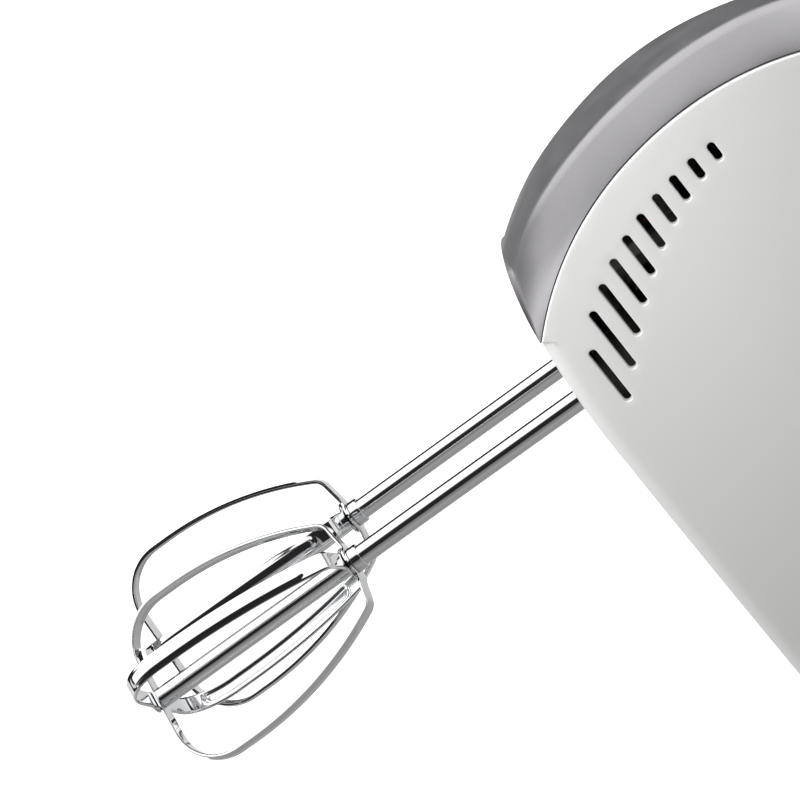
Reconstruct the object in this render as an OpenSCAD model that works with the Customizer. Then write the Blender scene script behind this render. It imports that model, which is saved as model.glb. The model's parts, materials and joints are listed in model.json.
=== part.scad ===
// Hand mixer, standing upright on its heel with the two beaters held out to +X.
//
// Every module below is written in the attitude of use: x runs forward to the nose, y to the
// left, z up to the handle. The beater shafts cross x = 0 and the underside is z = 0.
// stand() then turns the finished piece on to its heel, where the origin is.

/* [Body] */
// Greatest half-width of the motor housing
body_half_w = 41.5; // [40:0.5:43]
// Reach of the nose ahead of the beater shafts
nose_x = 65.5; // [65:0.1:66]
// Height of the foremost point of the nose
nose_z = 70.2; // [70:0.1:71]
// Height of the chin above the underside
chin_z = 1.6; // [1:0.1:2]
// Thickness of the moulded walls
wall = 2.5; // [2:0.1:2.6]
// Half-height of the finger gap
gap_r = 16; // [14:0.5:16.5]
// Half-width of the flat nose face at the chin
face_half_w = 17; // [16:0.5:19]
// Half-width of the flat strip along the top of the handle
strip_half_w = 8; // [8:0.25:9]

/* [Vents] */
// Number of slots in each side
vent_count = 10; // [4:1:10]
// Distance from one slot to the next
vent_pitch = 6.8; // [6.5:0.1:6.9]
// Width of a slot
vent_w = 2.5; // [2:0.1:2.6]

/* [Beaters] */
// Distance between the two beater shafts
beater_gap = 36; // [36:0.5:37]
// Diameter of a beater's stem
stem_d = 6.5; // [6:0.1:6.6]
// Bare stem between the underside and the cage
stem_drop = 87.3; // [70:0.1:95]
// Greatest half-width of the cage
cage_r = 27.6; // [26:0.1:28.6]
// Height of the cage
cage_h = 76; // [74:1:84]
// Width of a blade strip
strip_w = 5.8; // [5:0.1:6.2]
// Thickness of a blade strip
strip_t = 1.1; // [0.9:0.1:1.3]
// Turn of the left beater
left_phase = 51; // [45:1:60]

/* [Drive] */
// Teeth on each worm wheel
wheel_teeth = 27; // [27:1:27]
// Threads on the worm
worm_starts = 2; // [2:1:2]
// Height of the motor shaft
motor_z = 36; // [36:0.5:37]
// Shaft diameter in the motor
shaft_d = 6; // [5:0.2:6]

/* [Controls] */
// Travel of the eject button
eject_travel = 7; // [4:0.5:7]
// Travel of the turbo button
turbo_travel = 2.5; // [1:0.5:2.5]
// Travel of the speed selector
speed_travel = 15; // [10:1:15]

/* [Hidden] */
$fn = 48;
eps = 0.05;          // keeps pieces that touch a hair apart
running = 0.05;      // radial clearance of a turning fit

white = [0.93, 0.93, 0.92];
band_grey = [0.55, 0.54, 0.56];
dark_grey = [0.20, 0.20, 0.21];
light_grey = [0.74, 0.74, 0.75];
steel = [0.72, 0.73, 0.75];
chrome = [0.86, 0.87, 0.88];
copper = [0.72, 0.41, 0.22];
brass = [0.78, 0.64, 0.32];

// Side outline of the nose and the handle's top: a chain of arcs, each tangent to the last
nose_r = 119.3;
brow_r = 112.6;
brow_a = 36;
corner_r = 20;
top_a = 85;
top_r = 500;
tail_a = 102.3;
tail_r = 16;
function polar(r, a) = [r * cos(a), r * sin(a)];
nose_c = [nose_x - nose_r, nose_z];
chin_a = asin((chin_z - nose_z) / nose_r);
brow_c = [nose_x - brow_r, nose_z];
corner_c = brow_c + polar(brow_r - corner_r, brow_a);
top_c = corner_c + polar(corner_r - top_r, top_a);
tail_c = top_c + polar(top_r - tail_r, tail_a);
rear_x = tail_c[0] - tail_r;

// Front and top edge of the white side shells, a second chain of arcs inside the first
edge_x = nose_x - 8.65;
edge_z = nose_z - 0.65;
edge_r = 95.9;
edge_upper_r = 86.4;
edge_a = 45;
edge_low_a = asin(-edge_z / edge_r);
edge_corner_r = corner_r - 10;
edge_c = [edge_x - edge_r, edge_z];
edge_upper_c = [edge_x - edge_upper_r, edge_z];
edge_corner_c = edge_upper_c + polar(edge_upper_r - edge_corner_r, edge_a);
edge_end = edge_corner_c + polar(edge_corner_r, top_a);
edge_top_r = norm(edge_end - top_c);
edge_depth = top_r - edge_top_r;
edge_front = edge_c[0] + edge_r * cos(edge_low_a);

NOSE_N = 12;
BROW_N = 5;
CORNER_N = 6;
TOP_N = 10;
TAIL_N = 3;
chin_t = 0.4;
function lerp(a, b, f) = a + (b - a) * f;
function arc(c, r, a0, a1, n) = [for (i = [0:n - 1]) c + polar(r, a0 + (a1 - a0) * i / n)];
function outline() = concat(
    arc(nose_c, nose_r, chin_a, 0, NOSE_N),
    arc(brow_c, brow_r, 0, brow_a, BROW_N),
    arc(corner_c, corner_r, brow_a, top_a, CORNER_N),
    arc(top_c, top_r, top_a, tail_a, TOP_N),
    arc(tail_c, tail_r, tail_a, 180, TAIL_N),
    [[rear_x, tail_c[1]]]);
edge_top_a0 = atan2(edge_end[1] - top_c[1], edge_end[0] - top_c[0]);
function edge_line() = concat(
    arc(edge_c, edge_r, edge_low_a, 0, NOSE_N),
    arc(edge_upper_c, edge_upper_r, 0, edge_a, BROW_N),
    arc(edge_corner_c, edge_corner_r, edge_a, top_a, CORNER_N),
    arc(top_c, edge_top_r, edge_top_a0, tail_a, TOP_N),
    arc(tail_c, tail_r - edge_depth, tail_a, 180, TAIL_N),
    [[tail_c[0] - tail_r + edge_depth, tail_c[1]]]);

// Half-width of the body at a point of the side view. It leans in above the motor, tapers a
// little towards the rear, and is drawn in round the finger gap to make the handle.
lean_z = 48;
lean = 0.0026;
taper = 0.0000107;
waist = 0.3;
waist_x = -42;
waist_half = 58;
function clamp01(t) = min(1, max(0, t));
function ease(t) = let(c = clamp01(t)) c * c * (3 - 2 * c);
function bump(t) = abs(t) < 1 ? pow(1 - t * t, 2) : 0;
function half_w(p) =
    (body_half_w - lean * pow(max(0, p[1] - lean_z), 2))
    * (1 - taper * pow(p[0] - 5, 2))
    * (1 - waist * ease((p[1] - 88) / 30) * bump((p[0] - waist_x) / waist_half));

// The finger gap is a round-ended slot along this line
gap_front = [-10, 100];
gap_rear = [-76, 101];
gap_round = 10;

// The underside falls away behind the front corner of the shells, then runs level
under_drop = 2.7;
under_ramp = 39;
function under_z(x) = -under_drop * (1 - pow(1 - clamp01((edge_front - x) / under_ramp), 2));

// Underside and heel
heel_t = 4.2;
pad_t = 1.6;
heel_reach = -rear_x + heel_t + pad_t;
heel_height = 62;
under_round = 5;
heel_round = 4;

// Beater shafts
shaft_y = beater_gap / 2;
stem_r = stem_d / 2;
spindle_r = 6.5;
spindle_top = 60;
stem_top = spindle_top + eject_travel + 1;
right_phase = 120.5 - left_phase;

// Worm gearing: the wheels stand on the beater shafts and the worm runs between them
worm_pitch_r = 4.5;
wheel_pitch_r = shaft_y - worm_pitch_r;
axial_pitch = 2 * PI * wheel_pitch_r / wheel_teeth;
worm_lead = worm_starts * axial_pitch;
worm_len = 4 * worm_lead;
wheel_h = 12;
neck_r = 2.2;

// Motor stations along x
stack = [-78, -52];
mid_x = (stack[0] + stack[1]) / 2;
shaft_r = shaft_d / 2;

// Controls
eject_x = 27;
selector_x = -12;
turbo_x = -29;
cap_r = 6.2;
cap_flange_r = 7.4;

// Turns a piece from the attitude of use on to the heel
module stand() translate([heel_height, 0, heel_reach]) rotate([0, -90, 0]) children();

// A body with its axis along x, from x0 to x1, on the motor shaft's line
module on_shaft(x0, x1) translate([x0, 0, motor_z]) rotate([0, 90, 0])
    linear_extrude(x1 - x0) rotate(90) children();

// Upright tube between two heights
module tube(r_out, r_in, z0, z1) translate([0, 0, z0]) difference() {
    cylinder(r = r_out, h = z1 - z0);
    translate([0, 0, -1]) cylinder(r = r_in, h = z1 - z0 + 2);
}

// Block between two corners
module block(a, b) translate(a) cube(b - a);

// Closed skin over a list of equal rings of points; the ends are capped or joined up. A ladder
// cap suits a ring with mirrored halves that starts at its middle point.
module skin(rings, joined = false, ladder = false) {
    n = len(rings);
    m = len(rings[0]);
    sides = [for (i = [0:joined ? n - 1 : n - 2], j = [0:m - 1])
        let(k = (i + 1) % n, l = (j + 1) % m)
        each [[i * m + j, i * m + l, k * m + l], [i * m + j, k * m + l, k * m + j]]];
    caps = joined ? [] : ladder
        ? [for (base = [0, (n - 1) * m], j = [0:(m - 3) / 2])
            let(a = j == 0 ? [0, 1, m - 1] : [j, j + 1, m - j - 1, m - j])
            [for (k = [0:len(a) - 1]) base + a[base == 0 ? len(a) - 1 - k : k]]]
        : [[for (j = [0:m - 1]) m - 1 - j], [for (j = [0:m - 1]) (n - 1) * m + j]];
    polyhedron(points = [for (r = rings) each r], faces = concat(sides, caps));
}

// Upright coil spring of round wire, with its base at z0
module coil(r, wire, z0, z1, turns) {
    steps = turns * 14;
    sides = 6;
    skin([for (i = [0:steps]) let(a = 360 * turns * i / steps,
            z = z0 + wire + (z1 - z0 - 2 * wire) * i / steps)
        [for (j = [0:sides - 1]) let(b = -360 * j / sides)
            [(r + wire * cos(b)) * cos(a), (r + wire * cos(b)) * sin(a), z + wire * sin(b)]]]);
}

// ---------------------------------------------------------------- housing

// One side outline point: place, rounding of the rim there, and how far the hollow stays short
function side_line() =
    let(e = edge_line(), n = len(e), low = heel_round + 1,
        rear = [for (z = [tail_c[1]:-14:low + 8]) [rear_x, z]],
        foot = [for (i = [0:3]) [rear_x + low, low - under_drop] + polar(low, 180 + 30 * i)],
        under_n = 18, x0 = rear_x + low, x1 = e[0][0],
        under = [for (i = [1:under_n - 1]) let(x = x0 + (x1 - x0) * i / under_n) [x, under_z(x)]])
    concat(
        [[e[0], under_round, wall]],
        [for (i = [1:n - 1]) [e[i], 0.8, i < n - 1 ? -2 : wall]],
        [for (p = concat(rear, foot)) [p, heel_round, wall]],
        [for (p = under) [p, under_round, wall]]);

function gap_point(q) =
    let(d = gap_rear - gap_front, t = clamp01((q - gap_front) * d / (d * d))) gap_front + d * t;

// Ring of points across one half of the body, from the finger gap out to the rim and back
// along the seam. inset is 0 for the outer skin and the wall thickness for the hollow.
FLAT_N = 7;
ROUND_N = 3;
function side_ring(s, inset, seam) =
    let(q = s[0], c = gap_point(q), span = norm(q - c), u = (q - c) / span,
        d0 = gap_r + inset,
        d1 = span - (inset > 0 ? s[2] : 0),
        r0 = gap_round - inset,
        r1 = max(s[1] - inset, 0.4),
        steps = concat(
            [for (i = [0:ROUND_N]) let(a = 90 * i / ROUND_N) [d0 + r0 * (1 - cos(a)), r0 * (1 - sin(a))]],
            [for (i = [1:FLAT_N - 1]) [d0 + r0 + (d1 - r1 - d0 - r0) * i / FLAT_N, 0]],
            [for (i = [ROUND_N:-1:0]) let(a = 90 * i / ROUND_N) [d1 - r1 * (1 - cos(a)), r1 * (1 - sin(a))]]))
    concat(
        [let(p = c + u * d0) [p[0], seam, p[1]]],
        [for (k = steps) let(p = c + u * k[0]) [p[0], half_w(p) - inset - k[1], p[1]]],
        [let(p = c + u * d1) [p[0], seam, p[1]]]);

// Places of the five screw bosses, in the side view
bosses = [[46, 84], [22, 8], [-99, 9], [-126, 62], [-107, 116]];
boss_r = 3.4;
screw_r = 1.35;

vent_z0 = 10.15;
function edge_at(z) = z < edge_z
    ? edge_c[0] + sqrt(pow(edge_r, 2) - pow(z - edge_z, 2))
    : edge_upper_c[0] + sqrt(pow(edge_upper_r, 2) - pow(z - edge_z, 2));
function vent_share(i) = (vent_count - 1 - i) / max(1, vent_count - 2);
function vent_front(i, z) = edge_at(z) - (i == 0 ? 20 : 12.5 + 3.3 * pow(vent_share(i), 2));
function vent_len(i) = i == 0 ? 16.3 : 3.5 + 14.8 * pow(vent_share(i), 1.25);

module vent_slots() for (i = [0:vent_count - 1]) {
    z = vent_z0 + vent_pitch * i;
    hull() for (x = [vent_front(i, z), vent_front(i, z) - vent_len(i)])
        translate([x, 55, z]) rotate([90, 0, 0]) cylinder(d = vent_w, h = 40, $fn = 20);
}

gland_x = -112;
port_r = 10.5;

module side_shell(boss_hole) difference() {
    union() {
        difference() {
            skin([for (s = side_line()) side_ring(s, 0, eps)], true);
            skin([for (s = side_line()) side_ring(s, wall, -1)], true);
        }
        for (b = bosses) translate([b[0], half_w(b) - 1, b[1]]) rotate([90, 0, 0])
            cylinder(r = boss_r, h = half_w(b) - 1 - eps, $fn = 20);
    }
    for (b = bosses) translate([b[0], half_w(b) - 4, b[1]]) rotate([90, 0, 0])
        cylinder(r = boss_hole, h = half_w(b), $fn = 16);
    vent_slots();
    translate([0, shaft_y, -8]) cylinder(r = port_r + 0.2, h = 12);
    translate([gland_x, 0, -8]) cylinder(r = 8.2, h = 12);
}

module left_side_shell() stand() color(white) side_shell(screw_r + 0.05);

module right_side_shell() stand() color(white) mirror([0, 1, 0]) difference() {
    side_shell(screw_r + 0.4);
    for (b = bosses) translate([b[0], half_w(b) + 5, b[1]]) rotate([90, 0, 0])
        cylinder(r = 2.9, h = 12, $fn = 20);
}

module shell_screws() stand() color(steel) for (b = bosses) {
    head_y = half_w(b) - 7;
    translate([b[0], -head_y, b[1]]) rotate([-90, 0, 0]) cylinder(r = screw_r, h = head_y + 12);
    translate([b[0], -head_y, b[1]]) rotate([90, 0, 0]) difference() {
        cylinder(r = 2.6, h = 2);
        for (a = [0, 90]) rotate(a) translate([-2, -0.3, 1]) cube([4, 0.6, 2]);
    }
}

// Section of the band at a pair of outline and edge points: a flat face, a soft ridge and a
// side face that falls back to just below the side shell, then a tongue inside its wall
function face_w(p) = strip_half_w + (face_half_w - strip_half_w) * (1 - ease((p[1] - 55) / 65));
band_t = 2.2;
tongue = 3.4;
tongue_t = 1.6;
valley = 1.2;

// Near the chin the face is crowned, and its corners stand higher than its middle. The lowest
// section spreads to a rounded lip.
chin_crown = 1.5;
chin_bulge = 1.5;
chin_rise = 3.7;
chin_depth = 18.4;
function band_ring(o, e, i, depth, hollow) =
    let(d = norm(o - e), w = (o - e) / d, flat = face_w(o), side = half_w(e),
        up = [-w[1], w[0]] * chin_rise * pow(max(0, 1 - i / 4), 2),
        near = pow(max(0, 1 - i / 8), 2),
        c = d - chin_crown * near,
        in = side - wall - 0.3,
        half = hollow
            ? [[flat - 1.3, c - band_t, 1], [flat + 0.3, c - band_t - 1.2, 1],
               [in - tongue_t, 0.6, 0], [in - tongue_t, -depth - 1, 0]]
            : [[flat - 2, c, 1], [flat, c - 0.3, 1], [flat + 1.6, c - 1.5, 1],
               [side - valley - 0.6, 1.1, 0], [side - valley, 0.15, 0], [in, 0.15, 0], [in, -depth, 0]],
        lip = i > 0 ? half : [for (k = half) k[0] >= side - valley ? k
            : [k[0], max(k[1], chin_depth * sqrt(1 - pow(k[0] / (side - valley), 2.2))), 0]],
        both = concat([[0, hollow ? d - band_t : d + chin_bulge * near, 0]], lip,
                      [for (j = [len(lip) - 1:-1:0]) [-lip[j][0], lip[j][1], lip[j][2]]]))
    [for (k = both) let(p = e + w * k[1] + up * k[2]) [p[0], -k[0], p[1]]];

// Snap hook on the inside of the band's tongue
module snap_hook(p, side) hull() {
    y = half_w(p) - wall - 0.3 - tongue_t;
    translate([p[0], side * (y - 0.5), p[1]]) cube([5, 1.6, 5], center = true);
    translate([p[0], side * (y - 1.6), p[1]]) cube([5, 1, 1], center = true);
}

module spine_band() stand() color(band_grey) difference() {
    o = outline();
    e = edge_line();
    n = len(o);
    union() {
        difference() {
            skin([for (i = [0:n - 1]) band_ring(o[i], e[i], i, i < 2 ? 0.1 : i > n - 3 ? -eps : tongue, false)],
                 ladder = true);
            skin([for (i = [0:n - 2]) let(f = i == 0 ? chin_t : 0)
                band_ring(lerp(o[i], o[i + 1], f), lerp(e[i], e[i + 1], f), i + f, tongue, true)],
                 ladder = true);
        }
        for (i = [4, 12, 20, 28], side = [-1, 1]) snap_hook(e[i], side);
    }
    for (x = [eject_x, turbo_x]) translate([x, 0, 120]) cylinder(r = cap_r + 0.3, h = 40);
    hull() for (x = [3.4, speed_travel + 6.6]) translate([selector_x + x, 0, 120])
        cylinder(r = 2.4, h = 40, $fn = 24);
}

heel_low = 7;
heel_high = 118;
heel_corner = 12;
function heel_outline(grow) =
    let(lo = half_w([rear_x, 30]) - 3 + grow, hi = half_w([rear_x, heel_high]) - 3 + grow,
        r = heel_corner + grow, b = heel_low - grow, t = heel_high + grow)
    concat(arc([lo - r, b + r], r, -90, 0, 6), arc([hi - r, t - r], r, 0, 90, 6),
           arc([r - hi, t - r], r, 90, 180, 6), arc([r - lo, b + r], r, 180, 270, 6));

module heel_slab(x0, x1, grow) translate([x0, 0, 0]) rotate([90, 0, 90])
    linear_extrude(x1 - x0) polygon(heel_outline(grow));

pad_half = [20, 46];
module pad_solid(x0, x1, grow) translate([x0, 0, heel_height]) rotate([0, 90, 0])
    linear_extrude(x1 - x0) union() {
        r = 8 + grow;
        a = pad_half[1] - 8;
        b = pad_half[0] - 8;
        square([2 * (a + r), 2 * b], center = true);
        square([2 * a, 2 * (b + r)], center = true);
        for (i = [-1, 1], j = [-1, 1]) translate([a * i, b * j]) circle(r);
    }

module heel_plate() stand() color(band_grey) difference() {
    union() {
        heel_slab(rear_x - heel_t, rear_x - 1.6, 0);
        heel_slab(rear_x - 1.6, rear_x - eps, 0.8);
    }
    pad_solid(rear_x - heel_t - 1, rear_x - heel_t + 1.2, 0.1);
}

module heel_pad() stand() color(dark_grey)
    pad_solid(rear_x - heel_t - pad_t, rear_x - heel_t + 1.1, 0);

module port_ring(side) stand() color(dark_grey) translate([0, side * shaft_y, 0]) {
    tube(port_r, 7.6, -3.4, 4.4);
    tube(12, 7.6, 2.7, 3.7);
}

module left_port_ring() port_ring(1);

module right_port_ring() port_ring(-1);

module cord_gland() stand() color(dark_grey) translate([gland_x, 0, -under_drop]) difference() {
    union() {
        translate([0, 0, -1.2]) cylinder(r = 10, h = 1.1);
        translate([0, 0, -1]) cylinder(r = 8, h = 13);
        translate([0, 0, 3]) cylinder(r = 9.5, h = 3);
    }
    translate([0, 0, -2]) cylinder(r = 3.6, h = 16);
}

// --------------------------------------------------------------- controls

top_z = top_c[1] + top_r;
switch_z = 126;

module speed_selector() stand() color(dark_grey) translate([selector_x, 0, 0]) {
    block([0, -6.5, top_z + 0.5], [10, 6.5, top_z + 2.5]);
    for (i = [0:4]) block([0.4 + 2 * i, -6, top_z + 2], [1.6 + 2 * i, 6, top_z + 3.8]);
    block([3, -1.9, switch_z + 8.05], [7, 1.9, top_z + 1]);
}

module selector_carriage() stand() color(brass) translate([selector_x, 0, switch_z])
    block([1, -2.9, 4.3], [8, 2.9, 8]);

module selector_switch() stand() color(dark_grey) translate([selector_x, 0, switch_z]) difference() {
    block([-4, -6.5, 0], [speed_travel + 12, 6.5, 9]);
    block([0, -3.2, 4], [speed_travel + 9, 3.2, 10]);
}

module push_cap(x, z) translate([x, 0, 0]) {
    translate([0, 0, z - 9]) cylinder(r = cap_r, h = 8.1);
    translate([0, 0, z - 0.9]) cylinder(r1 = cap_r, r2 = cap_r - 0.9, h = 0.9);
    translate([0, 0, z - 9]) cylinder(r = cap_flange_r, h = 1.8);
}

turbo_cap_z = top_z + 2.6;
turbo_stem_z = 131;
module turbo_button() stand() color(dark_grey) {
    push_cap(turbo_x, turbo_cap_z);
    translate([turbo_x, 0, turbo_stem_z]) cylinder(r = 2.2, h = turbo_cap_z - 8 - turbo_stem_z);
}

module turbo_spring() stand() color(steel) translate([turbo_x, 0, 0])
    coil(4.4, 0.35, 128.1, turbo_cap_z - 9.1, 4);

module turbo_switch() stand() color(dark_grey) difference() {
    block([turbo_x - 9, -5, 119.5], [turbo_x + 9, 5, 128]);
    translate([turbo_x, 0, 128.5 - turbo_travel]) cylinder(r = 2.5, h = 4);
}

fork_z = stem_top + 0.3;
fork_t = 3;
eject_cap_z = corner_c[1] + corner_r + 2.8;
module eject_button() stand() color(dark_grey) {
    push_cap(eject_x, eject_cap_z);
    translate([eject_x, 0, fork_z + fork_t + 0.02]) cylinder(r = 2.4, h = eject_cap_z - 80 + 5);
}

module ejector_fork() stand() color(light_grey) translate([0, 0, fork_z]) {
    for (s = [-1, 1]) translate([0, s * shaft_y, 0]) cylinder(r = 5.5, h = fork_t);
    block([-3.5, -shaft_y, 0], [3.5, shaft_y, fork_t]);
    block([0, -4, 0], [eject_x, 4, fork_t]);
    translate([eject_x, 0, 0]) cylinder(r = 4, h = fork_t);
}

spring_x = 16;
module eject_spring() stand() color(steel) translate([spring_x, 0, 0])
    coil(3.6, 0.4, 56.1, fork_z - 0.1, 4);

// ------------------------------------------------------------- electrical

board_y = 12;
module speed_board() stand() color([0.16, 0.35, 0.22]) block([14, board_y, 84], [34, board_y + 1.6, 110]);

module suppressor_capacitor() stand() color([0.75, 0.66, 0.2])
    block([17, board_y + 1.7, 87], [31, board_y + 9, 96]);

module heat_sink() stand() color(light_grey) {
    block([18, board_y + 1.7, 99], [30, board_y + 3.2, 108]);
    for (i = [0:3]) block([18 + 3.5 * i, board_y + 3.1, 99], [19.4 + 3.5 * i, board_y + 9, 108]);
}

lead_y = 6;
module terminal_block() stand() color(light_grey) difference() {
    block([-121, -10, 16], [-106, 10, 26]);
    for (y = [-lead_y, lead_y]) translate([-113.5, y, 20]) cylinder(r = 2, h = 8);
}

// Wire of radius r through a row of places in the side view, mitred at each bend
module wire(places, y, r) {
    n = len(places);
    function unit(v) = v / norm(v);
    skin([for (i = [0:n - 1])
        let(a = unit(places[max(i, 1)] - places[max(i, 1) - 1]),
            b = unit(places[min(i, n - 2) + 1] - places[min(i, n - 2)]),
            t = unit(a + b), m = r / (t * a))
        [for (k = [0:7]) [places[i][0] - t[1] * m * cos(45 * k), y + r * sin(45 * k),
                          places[i][1] + t[0] * m * cos(45 * k)]]]);
}

module internal_leads() stand() color([0.55, 0.2, 0.15]) for (y = [-lead_y, lead_y])
    wire([[-113.5, 21], [-113.5, 27], [-118, 31], [-118, 112], [-111, 124], [-96, 128.5],
          [-50, 130.6], [selector_x - 4.5, 130.6]], y, 1.1);

// ------------------------------------------------------------------ motor

core_half = [29, 23];
coil_y = 17.5;
coil_z = 15;
coil_s = 7.4;
bolt_y = 25.3;

module stator_core() stand() color(steel) on_shaft(stack[0], stack[1]) difference() {
    union() {
        square([2 * core_half[0], 2 * core_half[1] - 8], center = true);
        square([2 * core_half[0] - 8, 2 * core_half[1]], center = true);
        for (i = [-1, 1], j = [-1, 1]) translate([i * (core_half[0] - 4), j * (core_half[1] - 4)]) circle(4);
    }
    circle(15.3);
    for (i = [-1, 1], j = [-1, 1]) translate([i * coil_y, j * coil_z]) square(coil_s + 0.4, center = true);
    for (i = [-1, 1]) translate([i * bolt_y, 0]) circle(2.1);
}

module field_coil(side) stand() color(copper)
    translate([mid_x, 0, motor_z + side * coil_z - coil_s / 2]) difference() {
        x = (stack[1] - stack[0]) / 2;
        block([-x - 7, -coil_y - coil_s / 2, 0], [x + 7, coil_y + coil_s / 2, coil_s]);
        block([-x - 0.4, -coil_y + coil_s / 2, -1], [x + 0.4, coil_y - coil_s / 2, coil_s + 1]);
    }

module upper_field_coil() field_coil(1);

module lower_field_coil() field_coil(-1);

module armature_core() stand() color(steel) on_shaft(stack[0], stack[1]) difference() {
    circle(14.6);
    circle(shaft_r + 0.02);
    for (i = [0:11]) rotate(30 * i) translate([10, -1.3]) square([6, 2.6]);
}

module armature_winding() stand() color(copper) {
    on_shaft(stack[0] - 6, stack[0] - 0.1) difference() {
        circle(10);
        circle(shaft_r + 0.1);
    }
    on_shaft(stack[1] + 0.1, stack[1] + 6) difference() {
        circle(10);
        circle(shaft_r + 0.1);
    }
}

module commutator() stand() color(copper) on_shaft(-100, -88) difference() {
    circle(9.8);
    circle(shaft_r + 0.02);
    for (i = [0:11]) rotate(30 * i) translate([7, -0.25]) square([4, 0.5]);
}

module motor_shaft() stand() color(steel) {
    on_shaft(-115, -15) circle(shaft_r);
    on_shaft(-15, 29) circle(neck_r);
}

module cooling_fan() stand() color(dark_grey) {
    on_shaft(-24.5, -22.5) difference() {
        circle(22);
        circle(shaft_r + 0.02);
    }
    on_shaft(-34, -24.5) difference() {
        circle(6.5);
        circle(shaft_r + 0.02);
    }
    on_shaft(-33, -24.5) for (i = [0:10]) rotate(360 / 11 * i) translate([6, -0.6]) square([16, 1.2]);
}

module bearing_bracket(x0, x1) on_shaft(x0, x1) difference() {
    union() {
        square([2 * bolt_y + 10, 14], center = true);
        circle(10);
    }
    circle(6.05);
    for (i = [-1, 1]) translate([i * bolt_y, 0]) circle(2.1);
}

module front_bracket() stand() color(light_grey) bearing_bracket(-43, -37);

module rear_bracket() stand() color(light_grey) bearing_bracket(-113, -106);

module shaft_bearings() stand() color(brass) {
    for (x = [[-43, -36.5], [-113, -105.5]]) on_shaft(x[0], x[1]) difference() {
        circle(6);
        circle(shaft_r + running);
    }
    on_shaft(20, 27) difference() {
        circle(5);
        circle(neck_r + running);
    }
}

module motor_bolts() stand() color(steel) for (y = [-bolt_y, bolt_y]) translate([0, y, 0]) {
    on_shaft(-113, -30) circle(2);
    on_shaft(-115.5, -113.05) circle(3.6);
}

brush_x = -94;
brush_half = [2.6, 3.1];
brush_y = [9.95, 18.6];
holder_y = [12.5, 23];

module brush(side) stand() color([0.15, 0.15, 0.16]) mirror([0, side < 0 ? 1 : 0, 0])
    block([brush_x - brush_half[0], brush_y[0], motor_z - brush_half[1]],
          [brush_x + brush_half[0], brush_y[1], motor_z + brush_half[1]]);

module left_brush() brush(1);

module right_brush() brush(-1);

module brush_holders() stand() color(brass) for (s = [0, 1]) mirror([0, s, 0]) difference() {
    g = 0.1;
    t = 1.2;
    block([brush_x - brush_half[0] - t, holder_y[0], motor_z - brush_half[1] - t],
          [brush_x + brush_half[0] + t, holder_y[1], motor_z + brush_half[1] + t]);
    block([brush_x - brush_half[0] - g, holder_y[0] - 1, motor_z - brush_half[1] - g],
          [brush_x + brush_half[0] + g, holder_y[1] - t, motor_z + brush_half[1] + g]);
}

module brush_springs() stand() color(steel) for (s = [-1, 1])
    translate([brush_x, 0, motor_z]) rotate([-90 * s, 0, 0])
        coil(1.9, 0.25, brush_y[1] + 0.05, holder_y[1] - 1.3, 3);

// ---------------------------------------------------------------- gearing

// Cross-section of the worm: one crest for each start
worm_root_r = 3.3;
worm_tip_r = 5.4;
function worm_outline() = [for (i = [0:worm_starts - 1], k = [-70, -49, -23, 0, 23, 49, 70])
    let(f = clamp01((49 - abs(k)) / 26), a = k + 360 * i / worm_starts)
    polar(worm_root_r + (worm_tip_r - worm_root_r) * f, a)];

module worm() stand() color(steel) translate([-worm_len / 2, 0, motor_z]) rotate([0, 90, 0])
    difference() {
        linear_extrude(worm_len, twist = -360 * worm_len / worm_lead, slices = 64, $fn = 14)
            rotate(90) polygon(worm_outline());
        translate([0, 0, -1]) cylinder(r = neck_r + 0.02, h = worm_len + 2);
    }

wheel_root_r = 12.2;
wheel_tip_r = 14.2;
tooth_root = 3.5;
tooth_tip = 1.4;
wheel_twist = wheel_h * worm_lead / (2 * PI * worm_pitch_r) / wheel_pitch_r * 180 / PI;
function wheel_outline() = [for (i = [0:wheel_teeth - 1])
    let(a = 360 * (i + 0.5) / wheel_teeth)
    each [polar(wheel_root_r, a - tooth_root), polar(wheel_tip_r, a - tooth_tip),
          polar(wheel_tip_r, a + tooth_tip), polar(wheel_root_r, a + tooth_root)]];

module worm_wheel(side) stand() color(white) translate([0, side * shaft_y, motor_z]) difference() {
    union() {
        translate([0, 0, -wheel_h / 2]) rotate(-90 * side - wheel_twist / 2)
            linear_extrude(wheel_h, twist = -wheel_twist, slices = 4) polygon(wheel_outline());
        translate([0, 0, -9]) cylinder(r = 9, h = 18);
    }
    translate([0, 0, -10]) cylinder(r = spindle_r + 0.02, h = 20);
}

module left_worm_wheel() worm_wheel(1);

module right_worm_wheel() worm_wheel(-1);

// Hollow spindle that takes the beater from below; two keyways turn the beater's wings
module spindle(side, phase) stand() color(steel) translate([0, side * shaft_y, 0]) difference() {
    cylinder(r = spindle_r, h = spindle_top);
    translate([0, 0, -1]) cylinder(r = stem_r + running, h = spindle_top + 2);
    rotate(phase) translate([-5.3, -0.9, -1]) cube([10.6, 1.8, 15]);
}

module left_spindle() spindle(1, left_phase);

module right_spindle() spindle(-1, right_phase);

frame_z = [18, 22];
cover_z = [52, 55];
posts = [[28, 26], [28, -26], [-18, 30], [-18, -30]];
bush_r = 9;

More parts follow.
